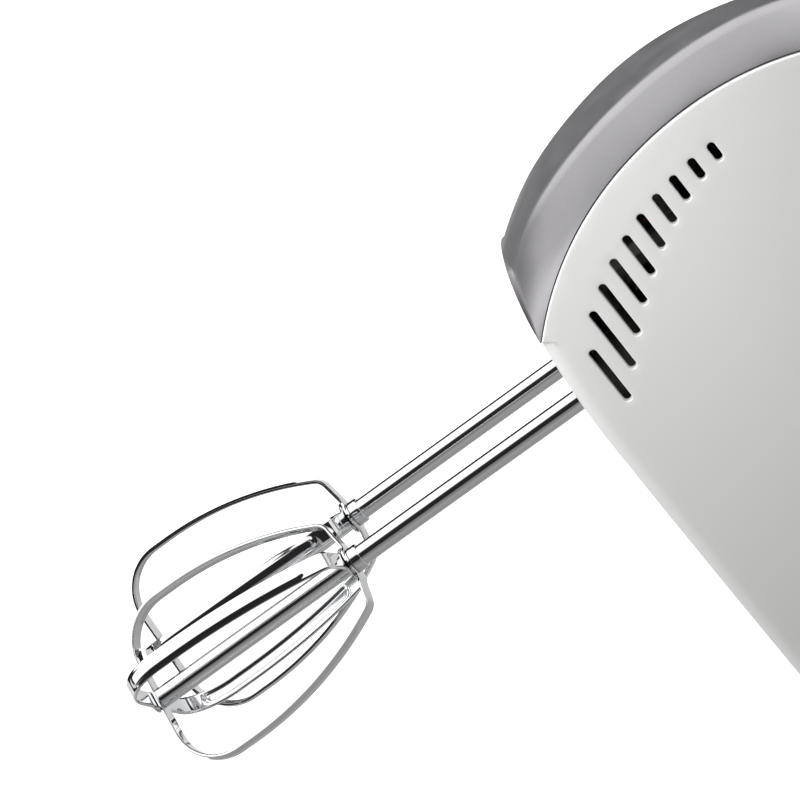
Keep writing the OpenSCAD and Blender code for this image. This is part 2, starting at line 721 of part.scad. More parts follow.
module gear_frame() stand() color(light_grey) difference() {
    union() {
        block([-22, -34, frame_z[0]], [34, 34, frame_z[1]]);
        for (s = [-1, 1]) {
            translate([0, s * shaft_y, 7]) cylinder(r = bush_r + 2.5, h = frame_z[1] - 7);
            block([-36.9, s * 30.2 - 2.5, 26], [-14, s * 30.2 + 2.5, 46]);
            block([-22, s * 30.2 - 2.5, frame_z[0]], [-14, s * 30.2 + 2.5, 30]);
        }
        for (p = posts) translate([p[0], p[1], frame_z[0]]) cylinder(r = 3.6, h = cover_z[0] - frame_z[0] - eps);
        block([20, -9, frame_z[0]], [27, 9, motor_z + 8]);
        block([30, -34, frame_z[0]], [34, -22, 42]);
        block([30, 22, frame_z[0]], [34, 34, 42]);
    }
    for (s = [-1, 1]) translate([0, s * shaft_y, 0]) cylinder(r = bush_r + 0.02, h = 40);
    translate([10, 0, motor_z]) rotate([0, 90, 0]) cylinder(r = 5.02, h = 30);
    for (p = posts) translate([p[0], p[1], 40]) cylinder(r = 1.3, h = 20);
}

module gear_cover() stand() color(light_grey) difference() {
    union() {
        block([-22, -34, cover_z[0]], [34, 34, cover_z[1]]);
        for (s = [-1, 1]) translate([0, s * shaft_y, cover_z[0] - 4]) cylinder(r = 9.5, h = 8);
        translate([spring_x, 0, cover_z[1]]) cylinder(r = 5.5, h = 1);
    }
    for (s = [-1, 1]) translate([0, s * shaft_y, 40]) cylinder(r = spindle_r + running, h = 30);
    for (p = posts) translate([p[0], p[1], 40]) cylinder(r = 1.7, h = 20);
}

module gear_screws() stand() color(steel) for (p = posts) translate([p[0], p[1], 0]) {
    translate([0, 0, 42]) cylinder(r = 1.25, h = cover_z[1] - 42);
    translate([0, 0, cover_z[1] + 0.02]) cylinder(r = 2.8, h = 2);
}

module spindle_bushes() stand() color(brass) for (s = [-1, 1])
    translate([0, s * shaft_y, 0]) tube(bush_r, spindle_r + running, 7, 24);

// ---------------------------------------------------------------- beaters

// Half of a cage's side outline, moved outwards by o: arm, shoulder, flank, corner and floor
shoulder_r = 4;
flank_r = 107;
flank_a = 27.9;
arm_a = 78;
foot_r = 15;
foot_z = foot_r - cage_h;
flank_z = foot_z + 5;
flank_c = [cage_r - flank_r, flank_z];
shoulder_c = flank_c + polar(flank_r - shoulder_r, flank_a);
arm_end = shoulder_c + polar(shoulder_r, arm_a);
arm_x = 6;
arm_z = arm_end[1] + (arm_end[0] - arm_x) / tan(arm_a);
function cage_half(o) = concat(
    [[0, arm_z + o], [arm_x, arm_z + o]],
    arc(shoulder_c, shoulder_r + o, arm_a, flank_a, 5),
    arc(flank_c, flank_r + o, flank_a, 0, 12),
    [[cage_r + o, flank_z]],
    arc([cage_r - foot_r, foot_z], foot_r + o, 0, -90, 9),
    [[cage_r - foot_r, -cage_h - o], [0, -cage_h - o]]);
function cage_ring(o) = let(h = cage_half(o), n = len(h))
    concat(h, [for (i = [n - 2:-1:1]) [-h[i][0], h[i][1]]]);

cage_z = -stem_drop;
spigot_r = 1.9;
eye_r = 5.4;

// One blade strip, bent to a closed loop with an eye where the stem goes through
module loop(side, phase, lift) stand() color(chrome)
    translate([0, side * shaft_y, cage_z + lift]) rotate(phase) difference() {
        union() {
            rotate([90, 0, 0]) translate([0, 0, -strip_w / 2]) linear_extrude(strip_w) difference() {
                polygon(cage_ring(strip_t / 2));
                polygon(cage_ring(-strip_t / 2));
            }
            translate([0, 0, arm_z - strip_t / 2]) cylinder(r = eye_r, h = strip_t);
        }
        translate([0, 0, arm_z - 3]) cylinder(r = stem_r + 0.02, h = 6);
        translate([0, 0, -cage_h - 3]) cylinder(r = spigot_r + 0.02, h = 6);
    }

loop_step = strip_t + eps;
module left_broad_loop() loop(1, left_phase, 0);

module left_cross_loop() loop(1, left_phase + 90, loop_step);

module right_broad_loop() loop(-1, right_phase, 0);

module right_cross_loop() loop(-1, right_phase + 90, loop_step);

floor_z = cage_z - cage_h + loop_step + strip_t / 2;
module stem(side, phase) stand() color(chrome) translate([0, side * shaft_y, 0]) {
    translate([0, 0, floor_z + eps]) cylinder(r = stem_r, h = stem_top - 1 - floor_z - eps);
    translate([0, 0, stem_top - 1]) cylinder(r1 = stem_r, r2 = stem_r - 1, h = 1);
    translate([0, 0, cage_z - cage_h - strip_t / 2 - eps]) cylinder(r = spigot_r, h = 6);
    translate([0, 0, cage_z - cage_h - strip_t / 2 - 1.3]) cylinder(r1 = 2.6, r2 = 3.6, h = 1.3 - eps);
    rotate(phase) translate([-5, -0.75, 8]) cube([10, 1.5, 5]);
}

module left_stem() stem(1, left_phase);

module right_stem() stem(-1, right_phase);

module collar(side) stand() color(chrome) translate([0, side * shaft_y, 0])
    tube(4.9, stem_r + 0.02, cage_z + arm_z + loop_step + strip_t / 2 + eps,
         cage_z + arm_z + loop_step + strip_t / 2 + 5);

module left_collar() collar(1);

module right_collar() collar(-1);

left_side_shell();
right_side_shell();
spine_band();
heel_plate();
heel_pad();
left_port_ring();
right_port_ring();
shell_screws();
cord_gland();
speed_selector();
selector_carriage();
selector_switch();
turbo_button();
turbo_spring();
turbo_switch();
eject_button();
ejector_fork();
eject_spring();
speed_board();
suppressor_capacitor();
heat_sink();
terminal_block();
internal_leads();
stator_core();
upper_field_coil();
lower_field_coil();
armature_core();
armature_winding();
commutator();
motor_shaft();
cooling_fan();
front_bracket();
rear_bracket();
shaft_bearings();
motor_bolts();
left_brush();
right_brush();
brush_holders();
brush_springs();
worm();
left_worm_wheel();
right_worm_wheel();
left_spindle();
right_spindle();
gear_frame();
gear_cover();
gear_screws();
spindle_bushes();
left_stem();
left_collar();
left_broad_loop();
left_cross_loop();
right_stem();
right_collar();
right_broad_loop();
right_cross_loop();
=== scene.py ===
"""Hand mixer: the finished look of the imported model.

The housing's skins, the band, the beaters and every part with a visible edge are rebuilt here
as smooth meshes on the model's own places; inner parts keep their nodes and get materials.
Lengths in the shape code are millimetres in the attitude of use (x forward, y left, z up) and
use() turns them on to the heel, where the model stands.
"""
import json
import math

import bmesh
import bpy
import numpy as np
from mathutils import Matrix, Vector
from mathutils.geometry import delaunay_2d_cdt

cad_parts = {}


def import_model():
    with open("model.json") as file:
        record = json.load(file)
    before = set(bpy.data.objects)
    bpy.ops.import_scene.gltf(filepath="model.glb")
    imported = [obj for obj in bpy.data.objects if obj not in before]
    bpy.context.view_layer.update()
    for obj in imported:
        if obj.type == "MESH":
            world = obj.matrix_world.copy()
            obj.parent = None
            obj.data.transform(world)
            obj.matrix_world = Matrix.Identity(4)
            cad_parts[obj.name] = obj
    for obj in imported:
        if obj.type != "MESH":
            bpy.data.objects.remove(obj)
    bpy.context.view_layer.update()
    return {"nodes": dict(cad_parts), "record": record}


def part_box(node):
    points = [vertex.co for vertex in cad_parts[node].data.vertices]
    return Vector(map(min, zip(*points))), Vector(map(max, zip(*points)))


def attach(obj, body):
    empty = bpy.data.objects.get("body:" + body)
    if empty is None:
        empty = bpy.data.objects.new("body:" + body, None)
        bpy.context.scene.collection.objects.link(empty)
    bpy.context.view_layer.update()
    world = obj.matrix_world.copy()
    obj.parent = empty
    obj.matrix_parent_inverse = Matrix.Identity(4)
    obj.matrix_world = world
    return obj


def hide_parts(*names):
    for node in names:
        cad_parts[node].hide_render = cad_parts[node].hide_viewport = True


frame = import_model()

MM = 0.001
NODES = frame["nodes"]
SLOT_OF = {p["node"]: p["material_slot"] for p in frame["record"]["subparts"]}
BODY_OF = {n: b for b, names in frame["record"]["behaviour"]["bodies"].items() for n in names}


# ------------------------------------------------------------------ places in the frame

def centre(node):
    low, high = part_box(node)
    return (low + high) / 2


STEM_TOP = 68.0                         # above the underside at the ports
SHAFT_Y = centre("left_stem").y / MM
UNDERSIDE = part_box("left_stem")[0].x / MM + STEM_TOP
REACH = centre("left_stem").z / MM


def use(x, y, z):
    """Place of a point that is given in the attitude of use."""
    return Vector(((UNDERSIDE - z) * MM, y * MM, (x + REACH) * MM))


def turn(x, y, z):
    """Direction that is given in the attitude of use."""
    return Vector((-z, y, x))


# --------------------------------------------------------------------------- materials

class Shader:
    """A node tree being built, with short calls for the nodes used below.

    Noise scales are in features a metre, bump distances in metres.
    """

    def __init__(self, name):
        self.material = bpy.data.materials.new(name)
        self.material.use_nodes = True
        self.nodes = self.material.node_tree.nodes
        self.links = self.material.node_tree.links
        self.surface = self.nodes["Principled BSDF"]
        self.place = self.nodes.new("ShaderNodeTexCoord").outputs["Object"]

    def set(self, **values):
        for key, value in values.items():
            self.surface.inputs[key.replace("_", " ")].default_value = value
        return self

    def put(self, kind, inputs=(), **settings):
        node = self.nodes.new(kind)
        for key, value in settings.items():
            setattr(node, key, value)
        for key, value in dict(inputs).items():
            if isinstance(value, bpy.types.NodeSocket):
                self.links.new(value, node.inputs[key])
            else:
                node.inputs[key].default_value = value
        return node

    def scaled(self, x, y, z):
        stretch = self.put("ShaderNodeVectorMath", {0: self.place, 1: (x, y, z)}, operation="MULTIPLY")
        return stretch.outputs[0]

    def noise(self, scale, detail=3.0, rough=0.5, vector=None):
        return self.put("ShaderNodeTexNoise", {"Vector": vector or self.place, "Scale": scale,
                                               "Detail": detail, "Roughness": rough}).outputs["Fac"]

    def spread(self, value, low, high, start=0.35, end=0.65):
        return self.put("ShaderNodeMapRange", {"Value": value, "From Min": start, "From Max": end,
                                               "To Min": low, "To Max": high}).outputs["Result"]

    def mix(self, factor, first, second, kind="MIX"):
        node = self.put("ShaderNodeMix", data_type="RGBA", blend_type=kind)
        for index, value in ((0, factor), (6, first), (7, second)):
            if isinstance(value, bpy.types.NodeSocket):
                self.links.new(value, node.inputs[index])
            else:
                node.inputs[index].default_value = value
        return node.outputs[2]

    def edge_wear(self, radius=0.0004):
        """1 on convex edges and 0 elsewhere."""
        bevel = self.put("ShaderNodeBevel", {"Radius": radius}, samples=4).outputs[0]
        normal = self.put("ShaderNodeNewGeometry").outputs["Normal"]
        dot = self.put("ShaderNodeVectorMath", {0: bevel, 1: normal}, operation="DOT_PRODUCT")
        return self.spread(dot.outputs["Value"], 1.0, 0.0, 0.90, 0.99)

    def bump(self, *layers):
        """layers: (height, distance in metres, strength), laid over one another."""
        normal = None
        for height, distance, strength in layers:
            inputs = {"Height": height, "Distance": distance, "Strength": strength}
            if normal is not None:
                inputs["Normal"] = normal
            normal = self.put("ShaderNodeBump", inputs).outputs[0]
        self.links.new(normal, self.surface.inputs["Normal"])
        return self

    def feed(self, **sockets):
        for key, socket in sockets.items():
            self.links.new(socket, self.surface.inputs[key.replace("_", " ")])
        return self


def rgb(r, g, b):
    return (r, g, b, 1.0)


def moulded_white():
    s = Shader("white_shell")
    tone = s.mix(s.spread(s.noise(18, 2), 0, 1), rgb(0.868, 0.868, 0.857), rgb(0.877, 0.877, 0.866))
    speck = s.spread(s.noise(900, 2), 0.0, 0.04, 0.66, 0.80)
    s.feed(Base_Color=s.mix(speck, tone, rgb(0.72, 0.72, 0.71)),
           Roughness=s.spread(s.noise(60, 4), 0.295, 0.31))
    s.bump((s.noise(420, 2), 0.00004, 0.12), (s.noise(2600, 1), 0.00001, 0.10))
    return s.set(Coat_Weight=0.12, Coat_Roughness=0.12, IOR=1.49).material


def satin_grey():
    s = Shader("grey_band")
    flake = s.spread(s.noise(5200, 2), 0, 1, 0.42, 0.62)
    tone = s.mix(flake, rgb(0.325, 0.316, 0.328), rgb(0.405, 0.396, 0.412))
    s.feed(Base_Color=s.mix(s.spread(s.noise(30, 3), 0, 1), tone, rgb(0.365, 0.357, 0.371)),
           Roughness=s.spread(s.noise(90, 4), 0.33, 0.41))
    s.bump((s.noise(3200, 2), 0.00001, 0.22))
    return s.set(Metallic=0.8, Coat_Weight=0.10, Coat_Roughness=0.25).material


def grained_plastic(name, dark, light, rough=0.45, grain=1500):
    """Moulded plastic with a fine grain, two close tones and rubbed edges."""
    s = Shader(name)
    cells = s.put("ShaderNodeTexVoronoi", {"Vector": s.place, "Scale": grain}).outputs["Distance"]
    s.feed(Base_Color=s.mix(s.edge_wear(), s.mix(s.spread(s.noise(70, 3), 0, 1), rgb(*dark), rgb(*light)),
                            rgb(*[min(1, c * 1.25 + 0.01) for c in light])),
           Roughness=s.spread(s.noise(160, 3), rough - 0.05, rough + 0.06))
    s.bump((cells, 0.00003, 0.35), (s.noise(grain * 2, 2), 0.00001, 0.2))
    return s.set(IOR=1.5).material


def soft_rubber():
    s = Shader("black_rubber")
    dust = s.spread(s.noise(240, 5, 0.65), 0, 0.35, 0.5, 0.75)
    s.feed(Base_Color=s.mix(dust, rgb(0.018, 0.018, 0.019), rgb(0.07, 0.068, 0.065)),
           Roughness=s.spread(s.noise(120, 4), 0.62, 0.80))
    s.bump((s.noise(2400, 3), 0.00003, 0.4))
    return s.set(Sheen_Weight=0.15, Sheen_Roughness=0.5).material


def worked_metal(name, colour, rough, along=(1, 1, 1), scratch=0.25, tint=(0.5, 0.42, 0.3), stain=0.08):
    """Metal with lines along one way, light stains and brighter edges."""
    s = Shader(name)
    lines = s.noise(1600, 3, 0.6, s.scaled(*along))
    dull = s.spread(s.noise(45, 4), 0, stain, 0.45, 0.7)
    base = s.mix(dull, rgb(*colour), rgb(*[c * t for c, t in zip(colour, tint)]))
    s.feed(Base_Color=s.mix(s.edge_wear(), base, rgb(*[min(1, c * 1.15) for c in colour])),
           Roughness=s.spread(lines, rough - 0.06, rough + 0.08))
    s.bump((lines, 0.00001, scratch))
    return s.set(Metallic=1.0).material


def polished_chrome():
    s = Shader("beater_chrome")
    hair = s.noise(2600, 3, 0.6, s.scaled(0.06, 1, 1))
    film = s.spread(s.noise(34, 4), 0, 0.10, 0.45, 0.75)
    s.feed(Base_Color=s.mix(film, rgb(0.80, 0.805, 0.815), rgb(0.70, 0.71, 0.73)),
           Roughness=s.spread(s.noise(120, 4), 0.035, 0.075))
    s.bump((s.noise(160, 2), 0.00003, 0.05), (hair, 0.000004, 0.10))
    return s.set(Metallic=1.0).material


def stacked_steel():
    s = Shader("core_steel")
    wave = s.put("ShaderNodeTexWave", {"Vector": s.place, "Scale": 320.0, "Distortion": 0.3,
                                       "Detail": 1.0}, wave_type="BANDS", bands_direction="Z").outputs["Fac"]
    s.feed(Base_Color=s.mix(wave, rgb(0.16, 0.155, 0.15), rgb(0.34, 0.335, 0.33)),
           Roughness=s.spread(s.noise(200, 4), 0.38, 0.55))
    s.bump((wave, 0.00012, 0.7))
    return s.set(Metallic=0.9).material


def wound_wire():
    s = Shader("enamelled_copper")
    wave = s.put("ShaderNodeTexWave", {"Vector": s.place, "Scale": 560.0, "Distortion": 0.8,
                                       "Detail": 1.5}, wave_type="BANDS", bands_direction="Y").outputs["Fac"]
    tone = s.mix(s.spread(s.noise(70, 3), 0, 1), rgb(0.46, 0.15, 0.05), rgb(0.60, 0.24, 0.09))
    s.feed(Base_Color=s.mix(wave, rgb(0.22, 0.06, 0.02), tone),
           Roughness=s.spread(s.noise(150, 3), 0.22, 0.34))
    s.bump((wave, 0.00015, 0.8))
    return s.set(Metallic=0.75, Coat_Weight=0.5, Coat_Roughness=0.15).material


def lacquered_board():
    s = Shader("board_laminate")
    tracks = s.put("ShaderNodeTexBrick", {"Vector": s.place, "Scale": 330.0,
                                          "Mortar Size": 0.03}).outputs["Fac"]
    weave = s.put("ShaderNodeTexVoronoi", {"Vector": s.place, "Scale": 1900.0}).outputs["Distance"]
    s.feed(Base_Color=s.mix(tracks, rgb(0.035, 0.14, 0.06), rgb(0.07, 0.24, 0.10)),
           Roughness=s.spread(s.noise(200, 3), 0.28, 0.42))
    s.bump((tracks, 0.00004, 0.5), (weave, 0.00002, 0.25))
    return s.set(Coat_Weight=0.3).material


def pressed_carbon():
    s = Shader("brush_carbon")
    grit = s.put("ShaderNodeTexVoronoi", {"Vector": s.place, "Scale": 3600.0}).outputs["Distance"]
    s.feed(Base_Color=s.mix(grit, rgb(0.015, 0.015, 0.016), rgb(0.06, 0.058, 0.056)),
           Roughness=s.spread(s.noise(500, 4), 0.5, 0.68))
    s.bump((grit, 0.00004, 0.5))
    return s.set(Metallic=0.2).material


MATERIALS = {
    "white_shell": moulded_white(),
    "grey_band": satin_grey(),
    "dark_plastic": grained_plastic("dark_plastic", (0.022, 0.022, 0.024), (0.035, 0.035, 0.038)),
    "black_rubber": soft_rubber(),
    "natural_plastic": grained_plastic("natural_plastic", (0.20, 0.20, 0.195), (0.26, 0.26, 0.25), 0.38, 900),
    "gear_nylon": grained_plastic("gear_nylon", (0.74, 0.72, 0.64), (0.80, 0.79, 0.72), 0.32, 700),
    "board_laminate": lacquered_board(),
    "yellow_film": grained_plastic("yellow_film", (0.62, 0.40, 0.03), (0.70, 0.47, 0.05), 0.25, 500),
    "wire_insulation": grained_plastic("wire_insulation", (0.30, 0.03, 0.02), (0.38, 0.05, 0.03), 0.42, 2200),
    "zinc_steel": worked_metal("zinc_steel", (0.62, 0.63, 0.60), 0.30, (1, 1, 0.2)),
    "spring_steel": worked_metal("spring_steel", (0.50, 0.50, 0.51), 0.26, (0.2, 1, 1)),
    "shaft_steel": worked_metal("shaft_steel", (0.56, 0.56, 0.57), 0.22, (1, 1, 0.1)),
    "core_steel": stacked_steel(),
    "enamelled_copper": wound_wire(),
    "bare_copper": worked_metal("bare_copper", (0.78, 0.40, 0.24), 0.24, (1, 1, 0.1), 0.3),
    "bronze": worked_metal("bronze", (0.58, 0.41, 0.20), 0.38, (1, 1, 1), 0.35),
    "brass_contact": worked_metal("brass_contact", (0.76, 0.60, 0.28), 0.26, (1, 0.1, 1)),
    "brush_carbon": pressed_carbon(),
    "bracket_aluminium": worked_metal("bracket_aluminium", (0.60, 0.60, 0.61), 0.42, (1, 1, 1), 0.5),
    "heat_sink_aluminium": worked_metal("heat_sink_aluminium", (0.58, 0.58, 0.59), 0.33, (0.1, 1, 1)),
    "beater_chrome": polished_chrome(),
}
for name, node in NODES.items():
    node.data.materials.clear()
    node.data.materials.append(MATERIALS[SLOT_OF[name]])


# ------------------------------------------------------------------------ mesh helpers

def piece(name, mesh, replaced, smooth=40):
    """Puts a finished mesh in the scene in the place of a node: same body, same slot."""
    replaced = [replaced] if isinstance(replaced, str) else replaced
    obj = bpy.data.objects.new(name, mesh)
    bpy.context.scene.collection.objects.link(obj)
    slot = SLOT_OF[replaced[0]]
    mesh.materials.clear()
    mesh.materials.append(MATERIALS[slot])
    mesh.shade_smooth()
    mesh.set_sharp_from_angle(angle=math.radians(smooth))
    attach(obj, BODY_OF[replaced[0]])
    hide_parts(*replaced)
    return obj


def mesh_of(name, points, faces):
    mesh = bpy.data.meshes.new(name)
    mesh.from_pydata([tuple(p) for p in points], [], faces)
    tidy = bmesh.new()
    tidy.from_mesh(mesh)
    bmesh.ops.recalc_face_normals(tidy, faces=tidy.faces)
    tidy.to_mesh(mesh)
    tidy.free()
    return mesh


WELD, FLAT_WITHIN = 2e-6, 1.5          # metres, degrees


def softened(node, width, segments=2, angle=35):
    """The node's own shape with its edges rounded, as moulding and tumbling leave them."""
    shape = bmesh.new()
    shape.from_mesh(NODES[node].data)
    bmesh.ops.remove_doubles(shape, verts=shape.verts, dist=WELD)
    bmesh.ops.dissolve_limit(shape, angle_limit=math.radians(FLAT_WITHIN), verts=shape.verts,
                             edges=shape.edges)
    mesh = bpy.data.meshes.new(node + "_visual")
    shape.to_mesh(mesh)
    shape.free()
    obj = piece(node + "_visual", mesh, node, smooth=angle)
    bevel = obj.modifiers.new("edge", "BEVEL")
    bevel.width = width * MM
    bevel.segments = segments
    bevel.limit_method = "ANGLE"
    bevel.angle_limit = math.radians(angle)
    bevel.miter_outer = "MITER_ARC"
    bevel.use_clamp_overlap = True
    bevel.harden_normals = False
    return obj


ROW_SHARE, CLEAR_SHARE = 0.87, 0.45     # of a grid's step: between rows, and from a loop


class Points:
    """Vertices and faces being gathered for one mesh."""

    def __init__(self):
        self.at = []
        self.faces = []

    def add(self, point):
        self.at.append(point)
        return len(self.at) - 1

    def strip(self, first, second, joined=True):
        """Quads between two equal rows of indices."""
        n = len(first)
        for i in range(n if joined else n - 1):
            j = (i + 1) % n
            self.faces.append((first[i], first[j], second[j], second[i]))

    def fill(self, flat, outer, holes=(), step=None, lift=None):
        """Triangles inside a loop of indices and outside the holes; flat maps an index to 2D.

        With a step, a grid of points placed by lift(u, v) is worked in.
        """
        keys = [k for loop in (outer, *holes) for k in loop]
        plane = [Vector(flat(self.at[k])) for k in keys]
        edges, start = [], 0
        for loop in (outer, *holes):
            edges += [(start + i, start + (i + 1) % len(loop)) for i in range(len(loop))]
            start += len(loop)
        loops = [np.array([flat(self.at[k]) for k in loop]) for loop in (outer, *holes)]
        if step:
            low, high = loops[0].min(0), loops[0].max(0)
            row_step = step * ROW_SHARE
            grid = np.array([(u + (step / 2 if row % 2 else 0), v)
                             for row, v in enumerate(np.arange(low[1], high[1], row_step))
                             for u in np.arange(low[0], high[0], step)])
            keep = inside(grid, loops[0])
            for hole in loops[1:]:
                keep &= ~inside(grid, hole)
            for loop in loops:
                keep &= clear_of(grid, loop, step * CLEAR_SHARE)
            for u, v in grid[keep]:
                keys.append(self.add(lift(u, v)))
                plane.append(Vector((u, v)))
        spots, _, triangles, origin, _, _ = delaunay_2d_cdt(plane, edges, [], 0, 1e-7)
        middles = np.array([np.mean([spots[k][:] for k in t], axis=0) for t in triangles])
        keep = inside(middles, loops[0])
        for hole in loops[1:]:
            keep &= ~inside(middles, hole)
        for t, kept in zip(triangles, keep):
            if kept:
                self.faces.append(tuple(keys[origin[k][0]] for k in t))


def inside(points, loop):
    """Which points lie inside a closed loop."""
    a, b = loop, np.roll(loop, -1, axis=0)
    result = np.zeros(len(points), bool)
    for (x0, y0), (x1, y1) in zip(a, b):
        if y0 != y1:
            crosses = (y0 > points[:, 1]) != (y1 > points[:, 1])
            result ^= crosses & (points[:, 0] < (x1 - x0) * (points[:, 1] - y0) / (y1 - y0) + x0)
    return result


def clear_of(points, loop, distance):
    """Which points lie at least a distance from a closed loop."""
    result = np.ones(len(points), bool)
    for a, b in zip(loop, np.roll(loop, -1, axis=0)):
        d = b - a
        t = np.clip(((points - a) @ d) / max(d @ d, 1e-12), 0, 1)
        result &= np.hypot(*(points - a - t[:, None] * d).T) > distance
    return result


ON_AXIS = 1e-6


def lathe(name, profile, place, steps=72):
    """Closed turned shape about an upright axis: profile is (radius, height) from axis to axis."""
    mesh = Points()
    rows = []
    for r, z in profile:
        if r < ON_AXIS:
            rows.append([mesh.add(use(place[0], place[1], z))])
        else:
            rows.append([mesh.add(use(place[0] + r * math.cos(a), place[1] + r * math.sin(a), z))
                         for a in (2 * math.pi * i / steps for i in range(steps))])
    for a, b in zip(rows, rows[1:]):
        if len(a) == 1 or len(b) == 1:
            tip, ring = (a[0], b) if len(a) == 1 else (b[0], a)
            mesh.faces += [(tip, ring[i], ring[(i + 1) % steps]) for i in range(steps)]
        else:
            mesh.strip(a, b)
    if len(rows[0]) > 1:
        mesh.strip(rows[-1], rows[0])
    return mesh_of(name, mesh.at, mesh.faces)


CORNER_SHARE = 0.45                     # of a side, the most that one corner may take


def rounded(corners, radius, steps=4):
    """A profile with its inner corners rounded off."""
    result = [corners[0]]
    for before, at, after in zip(corners, corners[1:], corners[2:]):
        p, q, r = (np.array(v, float) for v in (before, at, after))
        a, b = p - q, r - q
        cut = min(radius, np.linalg.norm(a) * CORNER_SHARE, np.linalg.norm(b) * CORNER_SHARE)
        a, b = q + a / np.linalg.norm(a) * cut, q + b / np.linalg.norm(b) * cut
        for i in range(steps + 1):
            t = i / steps
            result.append(tuple((1 - t) ** 2 * a + 2 * t * (1 - t) * q + t ** 2 * b))
    return result + [corners[-1]]


# --------------------------------------------------------------- outlines of the housing

def polar(r, a):
    """A place at a distance and an angle in degrees."""
    return np.array((r * math.cos(math.radians(a)), r * math.sin(math.radians(a))))


def arc(c, r, a0, a1, n):
    """Points along an arc, without its last one."""
    return [c + polar(r, a0 + (a1 - a0) * i / n) for i in range(n)]


def clamp01(t):
    return min(1.0, max(0.0, t))


def ease(t):
    """A soft step from 0 to 1."""
    t = clamp01(t)
    return t * t * (3 - 2 * t)


def bump(t):
    """A soft hump of height 1 between -1 and 1."""
    return (1 - t * t) ** 2 if abs(t) < 1 else 0.0


NOSE_X, NOSE_Z, NOSE_R, CHIN_Z = 65.5, 70.2, 119.3, 1.6
BROW_R, BROW_A, CORNER_R, TOP_A, TOP_R, TAIL_A, TAIL_R = 112.6, 36, 20, 85, 500, 102.3, 16
NOSE_C = np.array((NOSE_X - NOSE_R, NOSE_Z))
CHIN_A = math.degrees(math.asin((CHIN_Z - NOSE_Z) / NOSE_R))
BROW_C = np.array((NOSE_X - BROW_R, NOSE_Z))
CORNER_C = BROW_C + polar(BROW_R - CORNER_R, BROW_A)
TOP_C = CORNER_C + polar(CORNER_R - TOP_R, TOP_A)
TAIL_C = TOP_C + polar(TOP_R - TAIL_R, TAIL_A)
REAR_X = TAIL_C[0] - TAIL_R

# The line where the side shells end and the band begins
EDGE_BACK, EDGE_DOWN, EDGE_IN = 8.65, 0.65, 10
EDGE_X, EDGE_Z, EDGE_R, EDGE_UPPER_R, EDGE_A = NOSE_X - EDGE_BACK, NOSE_Z - EDGE_DOWN, 95.9, 86.4, 45
EDGE_LOW_A = math.degrees(math.asin(-EDGE_Z / EDGE_R))
EDGE_CORNER_R = CORNER_R - EDGE_IN
EDGE_C = np.array((EDGE_X - EDGE_R, EDGE_Z))
EDGE_UPPER_C = np.array((EDGE_X - EDGE_UPPER_R, EDGE_Z))
EDGE_CORNER_C = EDGE_UPPER_C + polar(EDGE_UPPER_R - EDGE_CORNER_R, EDGE_A)
EDGE_END = EDGE_CORNER_C + polar(EDGE_CORNER_R, TOP_A)
EDGE_TOP_R = float(np.linalg.norm(EDGE_END - TOP_C))
EDGE_DEPTH = TOP_R - EDGE_TOP_R
EDGE_TOP_A = math.degrees(math.atan2(*(EDGE_END - TOP_C)[::-1]))

FINE = (64, 28, 20, 48, 12)        # steps along the nose, brow, corner, top and tail


def outline():
    """The band's outline in the side view, from the chin over the top to the rear."""
    nose, brow, corner, top, tail = FINE
    return (arc(NOSE_C, NOSE_R, CHIN_A, 0, nose) + arc(BROW_C, BROW_R, 0, BROW_A, brow)
            + arc(CORNER_C, CORNER_R, BROW_A, TOP_A, corner) + arc(TOP_C, TOP_R, TOP_A, TAIL_A, top)
            + arc(TAIL_C, TAIL_R, TAIL_A, 180, tail) + [np.array((REAR_X, TAIL_C[1]))])


def edge_line():
    """The shells' edge, point for point beside the outline."""
    nose, brow, corner, top, tail = FINE
    return (arc(EDGE_C, EDGE_R, EDGE_LOW_A, 0, nose) + arc(EDGE_UPPER_C, EDGE_UPPER_R, 0, EDGE_A, brow)
            + arc(EDGE_CORNER_C, EDGE_CORNER_R, EDGE_A, TOP_A, corner)
            + arc(TOP_C, EDGE_TOP_R, EDGE_TOP_A, TAIL_A, top)
            + arc(TAIL_C, TAIL_R - EDGE_DEPTH, TAIL_A, 180, tail)
            + [np.array((REAR_X + EDGE_DEPTH, TAIL_C[1]))])


HALF_WIDTH, UPRIGHT_TO, TOP_CROWN = 41.5, 48, 0.0026
WIDEST_X, END_CROWN = 5, 0.0000107
WAIST_SHARE, WAIST_Z, WAIST_RISE, WAIST_X, WAIST_REACH = 0.3, 88, 30, -42, 58


def half_w(p):
    """Half-width of the body at a point of the side view: crowned, with a waist at the handle."""
    x, z = p[0], p[1]
    waist = WAIST_SHARE * ease((z - WAIST_Z) / WAIST_RISE) * bump((x - WAIST_X) / WAIST_REACH)
    return ((HALF_WIDTH - TOP_CROWN * max(0, z - UPRIGHT_TO) ** 2)
            * (1 - END_CROWN * (x - WIDEST_X) ** 2) * (1 - waist))


# ------------------------------------------------------------------------- side shells

